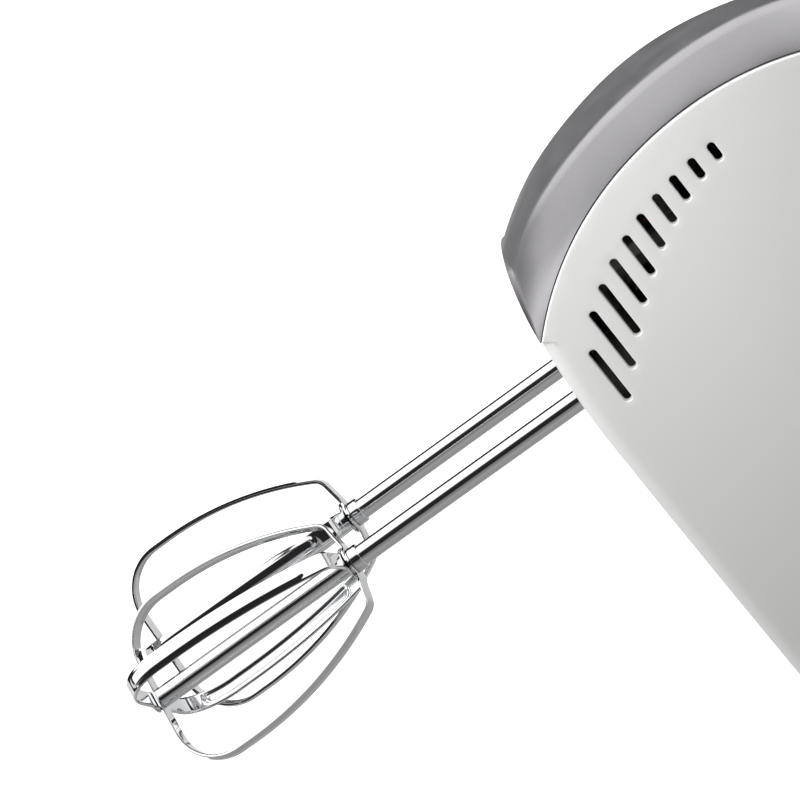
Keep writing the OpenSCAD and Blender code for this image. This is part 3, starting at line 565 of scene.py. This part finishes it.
WALL = 2.5
SEAM = 0.05
GAP_FRONT, GAP_REAR = np.array((-10.0, 100.0)), np.array((-76.0, 101.0))
GAP_R, GAP_ROUND = 16.0, 10.0
UNDER_ROUND, HEEL_ROUND, RIM_ROUND = 5.0, 4.0, 0.5
UNDER_DROP, UNDER_RAMP = 2.7, 39.0
PORT_R = 10.7
BOSSES = [(46, 84), (22, 8), (-99, 9), (-126, 62), (-107, 116)]
RECESS_R, RECESS_DEPTH = 2.9, 7.0
HEEL_CORNER_R = HEEL_ROUND + 1          # of the corner between heel and underside
REAR_CLEAR = 4                          # from that corner to the rear's last point
VENT_COUNT, VENT_Z, VENT_PITCH, VENT_W = 10, 10.15, 6.8, 2.5
LOWEST_VENT = (20, 16.3)                # distance behind the edge, length
VENT_IN, VENT_IN_GROWTH = 12.5, 3.3
VENT_LENGTH, VENT_GROWTH, VENT_GROWTH_POWER = 3.5, 14.8, 1.25
VENT_LIP = ((0.45, 0.0), (0.22, 0.05), (0.06, 0.2), (0.0, 0.45), (0.0, WALL))       # (grow, depth)
RECESS_LIP = ((0.3, 0.0), (0.08, 0.08), (0.0, 0.3), (0.0, RECESS_DEPTH))
ARC_STEPS = 6
REAR_STEPS, FOOT_STEPS, UNDER_STEPS, PORT_STEPS = 26, 10, 66, 40
STEP_IN, LIP_IN = 0.2, 0.1              # of the inner skin from the roundings and the open edge
OUTER_GRID, INNER_GRID = 2.6, 4.0


def gap_point(q):
    """Nearest point on the middle line of the handle's opening."""
    d = GAP_REAR - GAP_FRONT
    return GAP_FRONT + d * clamp01(float((q - GAP_FRONT) @ d / (d @ d)))


def under_z(x):
    """Height of the underside: it falls away behind the front corner, then runs level."""
    return -UNDER_DROP * (1 - (1 - clamp01((edge_line()[0][0] - x) / UNDER_RAMP)) ** 2)


def side_line():
    """Rim of the side view: (point, rounding, whether the wall is open there, underside)."""
    edge = edge_line()
    r = HEEL_CORNER_R
    foot_c = np.array((REAR_X + r, r - UNDER_DROP))
    rear = [np.array((REAR_X, z)) for z in np.linspace(TAIL_C[1], r + REAR_CLEAR, REAR_STEPS)]
    foot = [foot_c + polar(r, 180 + 90 * i / (FOOT_STEPS - 1)) for i in range(FOOT_STEPS)]
    under = [np.array((x, under_z(x))) for x in np.linspace(foot_c[0], edge[0][0], UNDER_STEPS)[1:-1]]
    last = len(edge) - 1
    return ([(edge[0], UNDER_ROUND, False, True)]
            + [(edge[i], RIM_ROUND, i < last, False) for i in range(1, last + 1)]
            + [(p, HEEL_ROUND, False, False) for p in rear[1:] + foot[:-1]]
            + [(foot[-1], HEEL_ROUND, False, True)]
            + [(p, UNDER_ROUND, False, True) for p in under])


def edge_at(z):
    """How far forward the shells' edge is at a height."""
    c, r = (EDGE_C, EDGE_R) if z < EDGE_Z else (EDGE_UPPER_C, EDGE_UPPER_R)
    return c[0] + math.sqrt(r ** 2 - (z - EDGE_Z) ** 2)


def vent(i):
    """Front end, rear end and height of a slot."""
    z = VENT_Z + VENT_PITCH * i
    share = (VENT_COUNT - 1 - i) / (VENT_COUNT - 2)
    inset, length = LOWEST_VENT
    if i > 0:
        inset = VENT_IN + VENT_IN_GROWTH * share ** 2
        length = VENT_LENGTH + VENT_GROWTH * share ** VENT_GROWTH_POWER
    front = edge_at(z) - inset
    return front, front - length, z


def capsule(x0, x1, z, r, steps=10):
    """Outline of a slot with round ends."""
    return ([np.array((x0, z)) + polar(r, 90 - 180 * i / steps) for i in range(steps + 1)]
            + [np.array((x1, z)) + polar(r, -90 - 180 * i / steps) for i in range(steps + 1)])


def circle(x, z, r, steps=28):
    return [np.array((x, z)) + polar(r, -360 * i / steps) for i in range(steps)]


class SideShell(Points):
    """Half of the housing: an outer and an inner skin that meet round every opening."""

    def __init__(self, side):
        super().__init__()
        self.side = side

    def put(self, p, depth):
        """A point at a depth under the broad side."""
        return self.add(use(p[0], self.side * (half_w(p) - depth), p[1]))

    def put_y(self, p, y):
        return self.add(use(p[0], self.side * y, p[1]))

    def quarter(self, c, u, edge, r, way):
        """Quarter round from the broad side down to an edge that lies along u from c."""
        angles = (math.radians(90 * i / ARC_STEPS) for i in range(ARC_STEPS + 1))
        return [self.put(c + u * (edge + way * r * (1 - math.sin(a))), r * (1 - math.cos(a))) for a in angles]

    def rims(self):
        """Rows round the rim, as (outer, back, open, underside), and round the handle's opening."""
        rim, gap = [], []
        for q, r1, is_open, under in side_line():
            c = gap_point(q)
            span = float(np.linalg.norm(q - c))
            u = (q - c) / span
            outer = self.quarter(c, u, span, r1, -1)
            if is_open:
                back = [self.put(q, WALL - LIP_IN), self.put(c + u * (span - r1), WALL)]
            else:
                wall = c + u * (span - WALL)
                back = [self.put_y(q, SEAM), self.put_y(wall, SEAM), self.put(wall, max(r1, WALL + STEP_IN)),
                        self.put(c + u * (span - r1 - STEP_IN), WALL)]
            rim.append((outer, back, is_open, under))
            around = self.quarter(c, u, GAP_R, GAP_ROUND, 1)
            wall = c + u * (GAP_R + WALL)
            gap.append(around + [self.put_y(c + u * GAP_R, SEAM), self.put_y(wall, SEAM),
                                 self.put(wall, GAP_ROUND), self.put(c + u * (GAP_R + GAP_ROUND), WALL)])
        return rim, gap

    def sides(self, rim, gap):
        """Walls round the rim and round the handle's opening."""
        n = len(rim)
        for i in range(n):
            a, b = rim[i], rim[(i + 1) % n]
            self.strip(a[0], b[0], joined=False)
            if a[2] == b[2]:
                left, right = [a[0][-1]] + a[1], [b[0][-1]] + b[1]
                for k in range(len(left) - 1):
                    in_a_plane = a[3] and b[3] and k in (0, 2)
                    if not in_a_plane:
                        self.faces.append((left[k], left[k + 1], right[k + 1], right[k]))
            else:
                self.faces.append(tuple([a[0][-1]] + a[1] + b[1][::-1] + [b[0][-1]]))
            self.strip(gap[i], gap[(i + 1) % n], joined=False)

    def underside(self, rim):
        """The outer and the inner plane, with the beater's port."""
        half = len(rim) // 2
        under = [i for i, row in enumerate(rim) if row[3]]
        order = [i for i in under if i > half] + [i for i in under if i <= half]
        planes = (([rim[i][0][-1] for i in order], [rim[i][1][0] for i in order], 0.0),
                  ([rim[i][1][2] for i in order], [rim[i][1][1] for i in order], WALL))
        ports = []
        for corner, seam, z in planes:
            port = [self.add(use(p[0], self.side * (SHAFT_Y + p[1]), z + under_z(p[0])))
                    for p in circle(0, 0, PORT_R, PORT_STEPS)]
            self.fill(lambda p: (p.z / MM, self.side * p.y / MM), corner + seam[::-1], [port])
            ports.append(port)
        self.strip(ports[0], ports[1])

    def hole(self, shape, lip):
        """Rows of a hole's wall: shape(grow) at each (grow, depth) of the lip."""
        rows = [[self.put(p, depth) for p in shape(grow)] for grow, depth in lip]
        for a, b in zip(rows, rows[1:]):
            self.strip(a, b)
        return rows

    def broad_side(self, rim, gap, recesses):
        """Outer and inner skin, with the vent slots and, where wanted, the screw recesses."""
        loops_out, loops_in = [], []
        for i in range(VENT_COUNT):
            front, rear, z = vent(i)
            rows = self.hole(lambda grow: capsule(front, rear, z, VENT_W / 2 + grow), VENT_LIP)
            loops_out.append(rows[0])
            loops_in.append(rows[-1])
        for x, z in BOSSES if recesses else ():
            rows = self.hole(lambda grow: circle(x, z, RECESS_R + grow), RECESS_LIP)
            self.faces.append(tuple(rows[-1]))
            loops_out.append(rows[0])

        def flat(p):
            return (p.z / MM - REACH, UNDERSIDE - p.x / MM)

        self.fill(flat, [r[0][0] for r in rim], [[g[0] for g in gap]] + loops_out, OUTER_GRID,
                  lambda x, z: use(x, self.side * half_w((x, z)), z))
        self.fill(flat, [r[1][-1] for r in rim], [[g[-1] for g in gap]] + loops_in, INNER_GRID,
                  lambda x, z: use(x, self.side * (half_w((x, z)) - WALL), z))


def side_shell(node, side, recesses):
    shell = SideShell(side)
    rim, gap = shell.rims()
    shell.sides(rim, gap)
    shell.underside(rim)
    shell.broad_side(rim, gap, recesses)
    name = node + "_visual"
    return piece(name, mesh_of(name, shell.at, shell.faces), node, smooth=38)


side_shell("left_side_shell", 1, False)
side_shell("right_side_shell", -1, True)


# -------------------------------------------------------------------------- spine band

# Stations are counted as f, in twelfths of the nose's arc up from the chin
NOSE_PARTS, CHIN_REACH, RISE_REACH = 12, 8, 4
FACE_HALF, STRIP_HALF, FACE_LOW, FACE_SPAN = 17.0, 8.0, 55, 65
CHIN_CROWN, CHIN_BULGE, CHIN_RISE, CHIN_DEPTH = 0.4, 1.5, 3.7, 18.4
LIP_SHARES, FLARE_SHARE = (1, 0.85, 0.7), 0.55
HOLLOW, HOLLOW_NOSE, HOLLOW_TOP, HOLLOW_LOW, HOLLOW_SPAN = 0.8, 0.22, 0.12, 10, 70
FACE_SHARES = (0.0, 0.3, 0.6, 0.82)
RIDGE = ((-1.2, 0.06), (-0.3, 0.28), (0.5, 0.72), (1.4, 1.35))      # (from the face's edge, back)
FLANK_SHARES = (0.1, 0.22, 0.35, 0.48, 0.6, 0.7, 0.79, 0.87, 0.94, 1.0)
VALLEY, FOOT_OUT, GROOVE_IN, GROOVE_OUT, GROOVE_END = 1.2, 0.62, 0.2, 0.5, 0.48
TONGUE, TONGUE_STUB, STUB_STATIONS, TONGUE_IN = 3.0, 0.1, 6, 0.3


def near_chin(f, reach):
    """1 at the chin, falling softly to 0 at a reach."""
    return max(0.0, 1 - f / reach) ** 2


def band_section(o, e, f):
    """Half a section: (y, distance out from the edge line, share of the chin's rise)."""
    d = float(np.linalg.norm(o - e))
    flat = STRIP_HALF + (FACE_HALF - STRIP_HALF) * (1 - ease((o[1] - FACE_LOW) / FACE_SPAN))
    side = half_w(e)
    chin = near_chin(f, CHIN_REACH)
    crowned = d - CHIN_CROWN * chin
    foot = (side - VALLEY, FOOT_OUT)
    hollow = (HOLLOW + HOLLOW_NOSE * ease(f / RISE_REACH)
              + HOLLOW_TOP * ease((o[1] - HOLLOW_LOW) / HOLLOW_SPAN))
    half = [(flat * t, d + (CHIN_BULGE - (CHIN_CROWN + CHIN_BULGE) * t * t) * chin, t * t)
            for t in FACE_SHARES]
    half += [(flat + across, crowned - back, 1) for across, back in RIDGE]
    start = half[-1]
    for t in FLANK_SHARES:
        half.append((start[0] + (foot[0] - start[0]) * t,
                     foot[1] + (start[1] - foot[1]) * (1 - t) ** hollow, (1 - t) ** 2))
    half += [(side - VALLEY - GROOVE_IN, GROOVE_OUT, 0), (side - WALL - TONGUE_IN, GROOVE_END, 0),
             (side - WALL - TONGUE_IN, -TONGUE, 0)]
    return half


def flared(half, share):
    """A section moved out and down by a share, towards the chin's lower edge."""
    edge = half[-3][0]
    result = []
    for y, k, rise in half[:-3]:
        out = CHIN_DEPTH * math.sqrt(max(0.0, 1 - (y / edge) ** 2))
        result.append((y, k + (max(out, k) - k) * share, rise * (1 - share)))
    return result + half[-3:]


def spine_band():
    """One skin from the chin's lower edge over the nose and the top to the rear."""
    mesh = Points()
    o, e = outline(), edge_line()
    count = FINE[0]
    f_at = [NOSE_PARTS / count * i if i < count else NOSE_PARTS for i in range(len(o))]
    stations = [(share, 0) for share in LIP_SHARES]
    stations += [(FLARE_SHARE * near_chin(f, CHIN_REACH), i) for i, f in enumerate(f_at)]
    rows = []
    for share, i in stations:
        half = band_section(o[i], e[i], f_at[i])
        if i < STUB_STATIONS:
            half[-1] = (half[-1][0], -TONGUE_STUB, 0)
        half = flared(half, share)
        w = (o[i] - e[i]) / np.linalg.norm(o[i] - e[i])
        up = np.array((-w[1], w[0])) * CHIN_RISE * near_chin(f_at[i], RISE_REACH)
        left, right = [], []
        for row, s, points in ((left, 1, half), (right, -1, half[1:])):
            for y, k, rise in points:
                p = e[i] + w * k + up * rise
                row.append(mesh.add(use(p[0], s * y, p[1])))
        rows.append(left[::-1] + right)
    for a, b in zip(rows, rows[1:]):
        mesh.strip(a, b)
    for row in (rows[0], rows[-1]):
        for j in range(len(row) // 2):
            mesh.faces.append(tuple(dict.fromkeys((row[j], row[j + 1], row[-j - 2], row[-j - 1]))))
    name = "spine_band_visual"
    return piece(name, mesh_of(name, mesh.at, mesh.faces), "spine_band", BAND_SMOOTH)


def cut(obj, points):
    """Cuts a flared prism, given as rows of points, out of a piece."""
    mesh = Points()
    rows = [[mesh.add(p) for p in row] for row in points]
    for a, b in zip(rows, rows[1:]):
        mesh.strip(a, b)
    mesh.faces += [tuple(rows[0]), tuple(rows[-1])]
    tool = bpy.data.objects.new("cutter", mesh_of("cutter", mesh.at, mesh.faces))
    bpy.context.scene.collection.objects.link(tool)
    modifier = obj.modifiers.new("cut", "BOOLEAN")
    modifier.operation = "DIFFERENCE"
    modifier.solver = "EXACT"
    modifier.object = tool
    bpy.context.view_layer.update()
    evaluated = obj.evaluated_get(bpy.context.evaluated_depsgraph_get())
    result = bpy.data.meshes.new_from_object(evaluated)
    obj.modifiers.clear()
    obj.data = result
    bpy.data.objects.remove(tool)


def top_at(x):
    """Height of the band's top."""
    if x < TOP_C[0] + TOP_R * math.cos(math.radians(TOP_A)):
        return TOP_C[1] + math.sqrt(TOP_R ** 2 - (x - TOP_C[0]) ** 2)
    return CORNER_C[1] + math.sqrt(CORNER_R ** 2 - (x - CORNER_C[0]) ** 2)


BAND_SMOOTH, HOLE_STEPS, SLOT_STEPS = 32, 64, 14
CAP_R, EJECT_X, TURBO_X = 6.2, 27.0, -29.0
SELECTOR_X, SPEED_TRAVEL, SLOT_FRONT, SLOT_REAR, SLOT_R, SLOT_MIDDLE = -12.0, 15.0, 6.6, 3.4, 2.4, 12
CAP_HOLE = ((0.3, -5), (0.3, -0.5), (0.75, 0), (2, 1.2))            # (grow, above the band's top)
SLOT_HOLE = ((0, -5), (0, -0.4), (0.4, 0), (1.2, 0.8))


def cut_controls(band):
    """Holes for the two buttons and the slot that the selector slides in."""
    for x in (EJECT_X, TURBO_X):
        z = top_at(x)
        rows = [[use(x + (CAP_R + grow) * math.cos(a), (CAP_R + grow) * math.sin(a), z + above)
                 for a in np.linspace(0, 2 * math.pi, HOLE_STEPS, False)] for grow, above in CAP_HOLE]
        cut(band, rows)
    z = top_at(SELECTOR_X + SLOT_MIDDLE)
    front, rear = SELECTOR_X + SLOT_FRONT + SPEED_TRAVEL, SELECTOR_X + SLOT_REAR
    cut(band, [[use(p[0], p[1], z + above) for p in capsule(front, rear, 0, SLOT_R + grow, SLOT_STEPS)]
               for grow, above in SLOT_HOLE])
    band.data.shade_smooth()
    band.data.set_sharp_from_angle(angle=math.radians(BAND_SMOOTH))


cut_controls(spine_band())


# ----------------------------------------------------------------------------- beaters

STEM_R, STRIP_W, STRIP_T, CAGE_R, CAGE_H = 3.25, 5.8, 1.1, 27.6, 76.0
CAGE_Z = -87.3
PHASE = {"left": 51.0, "right": 69.5}
FIT = 0.05
EYE_R = 5.4
SHOULDER_R, FLANK_R, FLANK_A, ARM_A, FOOT_R = 4.0, 107.0, 27.9, 78.0, 15.0
FOOT_Z = FOOT_R - CAGE_H
FLANK_Z = FOOT_Z + 5                    # the flank is straight between these two heights
SHOULDER_STEPS, FLANK_STEPS, FOOT_ARC_STEPS = 10, 60, 24
FLANK_C = np.array((CAGE_R - FLANK_R, FLANK_Z))
SHOULDER_C = FLANK_C + polar(FLANK_R - SHOULDER_R, FLANK_A)
ARM_END = SHOULDER_C + polar(SHOULDER_R, ARM_A)
ARM_X = 6.0
ARM_Z = ARM_END[1] + (ARM_END[0] - ARM_X) / math.tan(math.radians(ARM_A))
ARM_BEND = ((-1.5, 0.0), (0.0, 0.1), (1.5, 0.42))                   # (from the bend, down)
LOOP_STEP = STRIP_T + FIT
PATH_POINTS, ACROSS_POINTS = 141, 15
RIB_HALF, RIB_HEIGHT, RIB_LEAD, RIB_SLOPE = 1.75, 0.42, 0.55, 0.9
RIB_START, RIB_STOP = 24.0, 27.0        # of the rib, from the path's two ends
STRIP_ROUND, STRIP_ROUND_DEPTH = 0.35, 0.30


def cage_path():
    """Half of a cage's middle line from the top centre to the bottom centre, evenly spaced."""
    rough = ([np.array((0.0, ARM_Z))] + [np.array((ARM_X + x, ARM_Z - down)) for x, down in ARM_BEND]
             + arc(SHOULDER_C, SHOULDER_R, ARM_A, FLANK_A, SHOULDER_STEPS)
             + arc(FLANK_C, FLANK_R, FLANK_A, 0, FLANK_STEPS) + [np.array((CAGE_R, FLANK_Z))]
             + arc(np.array((CAGE_R - FOOT_R, FOOT_Z)), FOOT_R, 0, -90, FOOT_ARC_STEPS)
             + [np.array((CAGE_R - FOOT_R, -CAGE_H)), np.array((0.0, -CAGE_H))])
    rough = np.array(rough)
    length = np.concatenate([[0], np.cumsum(np.hypot(*np.diff(rough, axis=0).T))])
    at = np.linspace(0, length[-1], PATH_POINTS)
    return np.stack([np.interp(at, length, rough[:, k]) for k in (0, 1)], 1), at


def strip_level(face, v, width, s, total):
    """Height of a strip's face over its middle: rounded edges and a pressed rib."""
    inset = max(0.0, abs(v) - (width - STRIP_ROUND))
    level = face * (STRIP_T / 2 - STRIP_ROUND_DEPTH * (inset / STRIP_ROUND) ** 2)
    nearest = min(max(s, RIB_START), total - RIB_STOP)
    distance = math.hypot(s - nearest, v)
    return level + RIB_HEIGHT * (1 - ease((distance - RIB_HALF + RIB_LEAD) / RIB_SLOPE))


def blade_loop(node, side, phase, lift):
    """A strip bent to a closed loop, with a pressed rib down each flank and an eye at the top."""
    half, at = cage_path()
    there = list(zip(half, at))
    path = there + [((-p[0], p[1]), s) for p, s in there[-2:0:-1]]
    middle = np.array((0, -CAGE_H / 2))
    across = np.linspace(-1, 1, ACROSS_POINTS)
    phase = math.radians(phase)
    mesh = Points()
    rows = []
    n = len(path)
    for i, (p, s) in enumerate(path):
        before, after = np.array(path[i - 1][0]), np.array(path[(i + 1) % n][0])
        t = (after - before) / np.linalg.norm(after - before)
        out = np.array((-t[1], t[0]))
        if out @ (np.array(p) - middle) < 0:
            out = -out
        width = STRIP_W / 2
        if s < EYE_R:
            width = max(width, math.sqrt(EYE_R ** 2 - s ** 2))
        ring = []
        for face in (1, -1):
            for k in across[::face]:
                y = k * width
                x, z = np.array(p) + out * strip_level(face, y, width, s, at[-1])
                ring.append(mesh.add(use(x * math.cos(phase) - y * math.sin(phase),
                                         side * SHAFT_Y + x * math.sin(phase) + y * math.cos(phase),
                                         CAGE_Z + lift + z)))
        rows.append(ring)
    for i in range(n):
        mesh.strip(rows[i], rows[(i + 1) % n])
    return piece(node + "_visual", mesh_of(node + "_visual", mesh.at, mesh.faces), node, 50)


CHAMFER, STEM_ROUND = 1, 0.35
SEAT = 4                                # above the rod's lower end, where its profile has a point
RIVET_NECK_R, RIVET_R, RIVET_LOW_R, RIVET_RIM, RIVET_H = 1.9, 3.6, 3.3, 0.7, 1.25
NECK_TOP, NECK_LOW = 0.01, 0.1          # from the rod's end and from the rivet's head
WING_REACH, WING_HALF, WING_LOW, WING_HIGH = 5, 0.75, 8, 13
BOX_FACES = ((3, 2, 1, 0), (4, 5, 6, 7), (0, 1, 5, 4), (1, 2, 6, 5), (2, 3, 7, 6), (3, 0, 4, 7))


def stem(node, side, phase):
    """Ground rod with a chamfered top, drive wings and a riveted lower end."""
    floor = CAGE_Z - CAGE_H + LOOP_STEP + STRIP_T / 2 + FIT
    under = CAGE_Z - CAGE_H - STRIP_T / 2 - FIT
    profile = rounded([(0, STEM_TOP), (STEM_R - CHAMFER, STEM_TOP), (STEM_R, STEM_TOP - CHAMFER),
                       (STEM_R, floor + SEAT), (STEM_R, floor), (RIVET_NECK_R, floor - NECK_TOP),
                       (RIVET_NECK_R, under + NECK_LOW), (RIVET_R, under), (RIVET_LOW_R, under - RIVET_RIM),
                       (0, under - RIVET_H)], STEM_ROUND)
    body = bmesh.new()
    body.from_mesh(lathe("rod", profile, (0, side * SHAFT_Y)))
    turned = Matrix.Rotation(math.radians(phase), 3, "Z")
    wing = [turned @ Vector((x * WING_REACH, y * WING_HALF, 0))
            for x, y in ((-1, -1), (1, -1), (1, 1), (-1, 1))]
    corners = [body.verts.new(use(p.x, side * SHAFT_Y + p.y, z)) for z in (WING_LOW, WING_HIGH) for p in wing]
    for quad in BOX_FACES:
        body.faces.new([corners[k] for k in quad])
    bmesh.ops.recalc_face_normals(body, faces=body.faces)
    mesh = bpy.data.meshes.new(node + "_visual")
    body.to_mesh(mesh)
    body.free()
    return piece(node + "_visual", mesh, node, 35)


COLLAR_R, COLLAR_H, COLLAR_CONE, COLLAR_TOP, COLLAR_ROUND, BORE_FIT = 4.1, 3.2, 0.6, 0.5, 0.4, 0.02


def collar(node, side):
    """Collar pressed on to the stem above the crossing, coned at its top."""
    low = CAGE_Z + ARM_Z + LOOP_STEP + STRIP_T / 2 + FIT
    high = low + COLLAR_H
    profile = rounded([(STEM_R + BORE_FIT, low), (COLLAR_R, low), (COLLAR_R, high - COLLAR_CONE),
                       (STEM_R + COLLAR_TOP, high), (STEM_R + BORE_FIT, high)], COLLAR_ROUND)
    return piece(node + "_visual", lathe(node + "_visual", profile, (0, side * SHAFT_Y)), node, 35)


for hand, side in (("left", 1), ("right", -1)):
    blade_loop(hand + "_broad_loop", side, PHASE[hand], 0.0)
    blade_loop(hand + "_cross_loop", side, PHASE[hand] + 90, LOOP_STEP)
    stem(hand + "_stem", side, PHASE[hand])
    collar(hand + "_collar", side)


# --------------------------------------------------------- parts with rounded edges only

EDGE_WIDTHS = {"heel_plate": 0.8, "heel_pad": 0.6, "left_port_ring": 0.3, "right_port_ring": 0.3,
               "shell_screws": 0.2, "cord_gland": 0.4, "speed_selector": 0.35, "turbo_button": 0.35,
               "eject_button": 0.35, "gear_frame": 0.3, "gear_cover": 0.3, "speed_board": 0.1,
               "suppressor_capacitor": 0.5, "heat_sink": 0.15, "left_spindle": 0.2, "right_spindle": 0.2}
for node, width in EDGE_WIDTHS.items():
    softened(node, width)


# --------------------------------------------------------------- stage, lights, camera

FLOOR_SIZE = 8
# (degrees about the row's X axis from +Y towards +Z, brightness)
SKY = ((-179, 0.9), (-140, 0.45), (-90, 0.32), (-40, 0.38), (-4, 0.2), (6, 0.015), (45, 0.03),
       (54, 1.4), (80, 1.7), (122, 1.7), (134, 0.02))


def stage_floor():
    """Plain white paper, kept out of the reflections and of the bounced light."""
    bpy.ops.mesh.primitive_plane_add(size=FLOOR_SIZE, location=(0, 0, 0))
    floor = bpy.context.object
    floor.name = "floor"
    s = Shader("floor_paper")
    s.feed(Base_Color=s.mix(s.spread(s.noise(6, 3), 0, 1), rgb(0.94, 0.94, 0.94), rgb(0.96, 0.96, 0.96)))
    s.set(Roughness=0.9)
    floor.data.materials.append(s.material)
    floor.visible_glossy = False
    floor.visible_diffuse = False


def world():
    """Studio that is bright over the nose, dark behind the camera and grey towards the floor."""
    sky = bpy.data.worlds.new("studio")
    bpy.context.scene.world = sky
    sky.use_nodes = True
    nodes, links = sky.node_tree.nodes, sky.node_tree.links
    place = nodes.new("ShaderNodeTexCoord")
    parts = nodes.new("ShaderNodeSeparateXYZ")
    links.new(place.outputs["Generated"], parts.inputs[0])
    angle = nodes.new("ShaderNodeMath")
    angle.operation = "ARCTAN2"
    links.new(parts.outputs["Z"], angle.inputs[0])
    links.new(parts.outputs["Y"], angle.inputs[1])
    share = nodes.new("ShaderNodeMapRange")
    share.inputs["From Min"].default_value = -math.pi
    share.inputs["From Max"].default_value = math.pi
    links.new(angle.outputs[0], share.inputs["Value"])
    ramp = nodes.new("ShaderNodeValToRGB")
    links.new(share.outputs["Result"], ramp.inputs[0])
    elements = ramp.color_ramp.elements
    while len(elements) < len(SKY):
        elements.new(0.5)
    for element, (degrees, level) in zip(elements, SKY):
        element.position = (degrees + 180) / 360
        element.color = (level, level, level, 1)
    back = nodes["Background"]
    links.new(ramp.outputs[0], back.inputs["Color"])
    back.inputs["Strength"].default_value = 1.0


LIT_SPOT = (EDGE_X, 40, 60)             # on the nose's left side
LAMPS = (("key", (0.0, 0.16, 0.15), 0.2, 0.25),         # name, metres from the spot, size, watts
         ("side", (0.34, 0.24, 0.24), 0.3, 1.15))
BACKDROP_PLACE, BACKDROP_TARGET = (0.2, -2.0, 2.0), (0.2, -1.6, 0)
BACKDROP_SIZE, BACKDROP_POWER = 3.0, 75


def area_light(name, place, target, size, power):
    """A square lamp that lights the model but is not seen, directly or mirrored."""
    data = bpy.data.lights.new(name, "AREA")
    data.shape = "RECTANGLE"
    data.size = data.size_y = size
    data.energy = power
    lamp = bpy.data.objects.new(name, data)
    lamp.visible_camera = False
    lamp.visible_glossy = False
    bpy.context.scene.collection.objects.link(lamp)
    lamp.location = place
    lamp.rotation_euler = (target - place).to_track_quat("-Z", "Y").to_euler()


YAW, PITCH, ROLL, DISTANCE = 16.56, 11.72, 54.0, 900.0
AIM = (26.46, 0.0, -50.15)
SENSOR, LENS = 36, 136.233


def camera():
    """The photograph's view: from the front left and a little above, rolled."""
    yaw, pitch, roll = (math.radians(a) for a in (YAW, PITCH, ROLL))
    to_eye = Vector((math.sin(yaw) * math.cos(pitch), math.cos(yaw) * math.cos(pitch), math.sin(pitch)))
    right = (-to_eye).cross(Vector((0, 0, 1))).normalized()
    up = right.cross(-to_eye)
    right, up = (right * math.cos(roll) + up * math.sin(roll), up * math.cos(roll) - right * math.sin(roll))
    eye = Vector(AIM) + to_eye * DISTANCE
    data = bpy.data.cameras.new("camera")
    data.sensor_width = SENSOR
    data.lens = LENS
    data.clip_start, data.clip_end = 0.05, 20
    obj = bpy.data.objects.new("camera", data)
    bpy.context.scene.collection.objects.link(obj)
    columns = [turn(*v) for v in (right, up, to_eye)] + [use(*eye)]
    obj.matrix_world = Matrix([[column[r] for column in columns] for r in range(3)] + [[0, 0, 0, 1]])
    bpy.context.scene.camera = obj


stage_floor()
world()
camera()
spot = use(*LIT_SPOT)
for name, offset, size, power in LAMPS:
    area_light(name, spot + Vector(offset), spot, size, power)
area_light("backdrop", Vector(BACKDROP_PLACE), Vector(BACKDROP_TARGET), BACKDROP_SIZE, BACKDROP_POWER)
bpy.context.scene.view_settings.view_transform = "Standard"
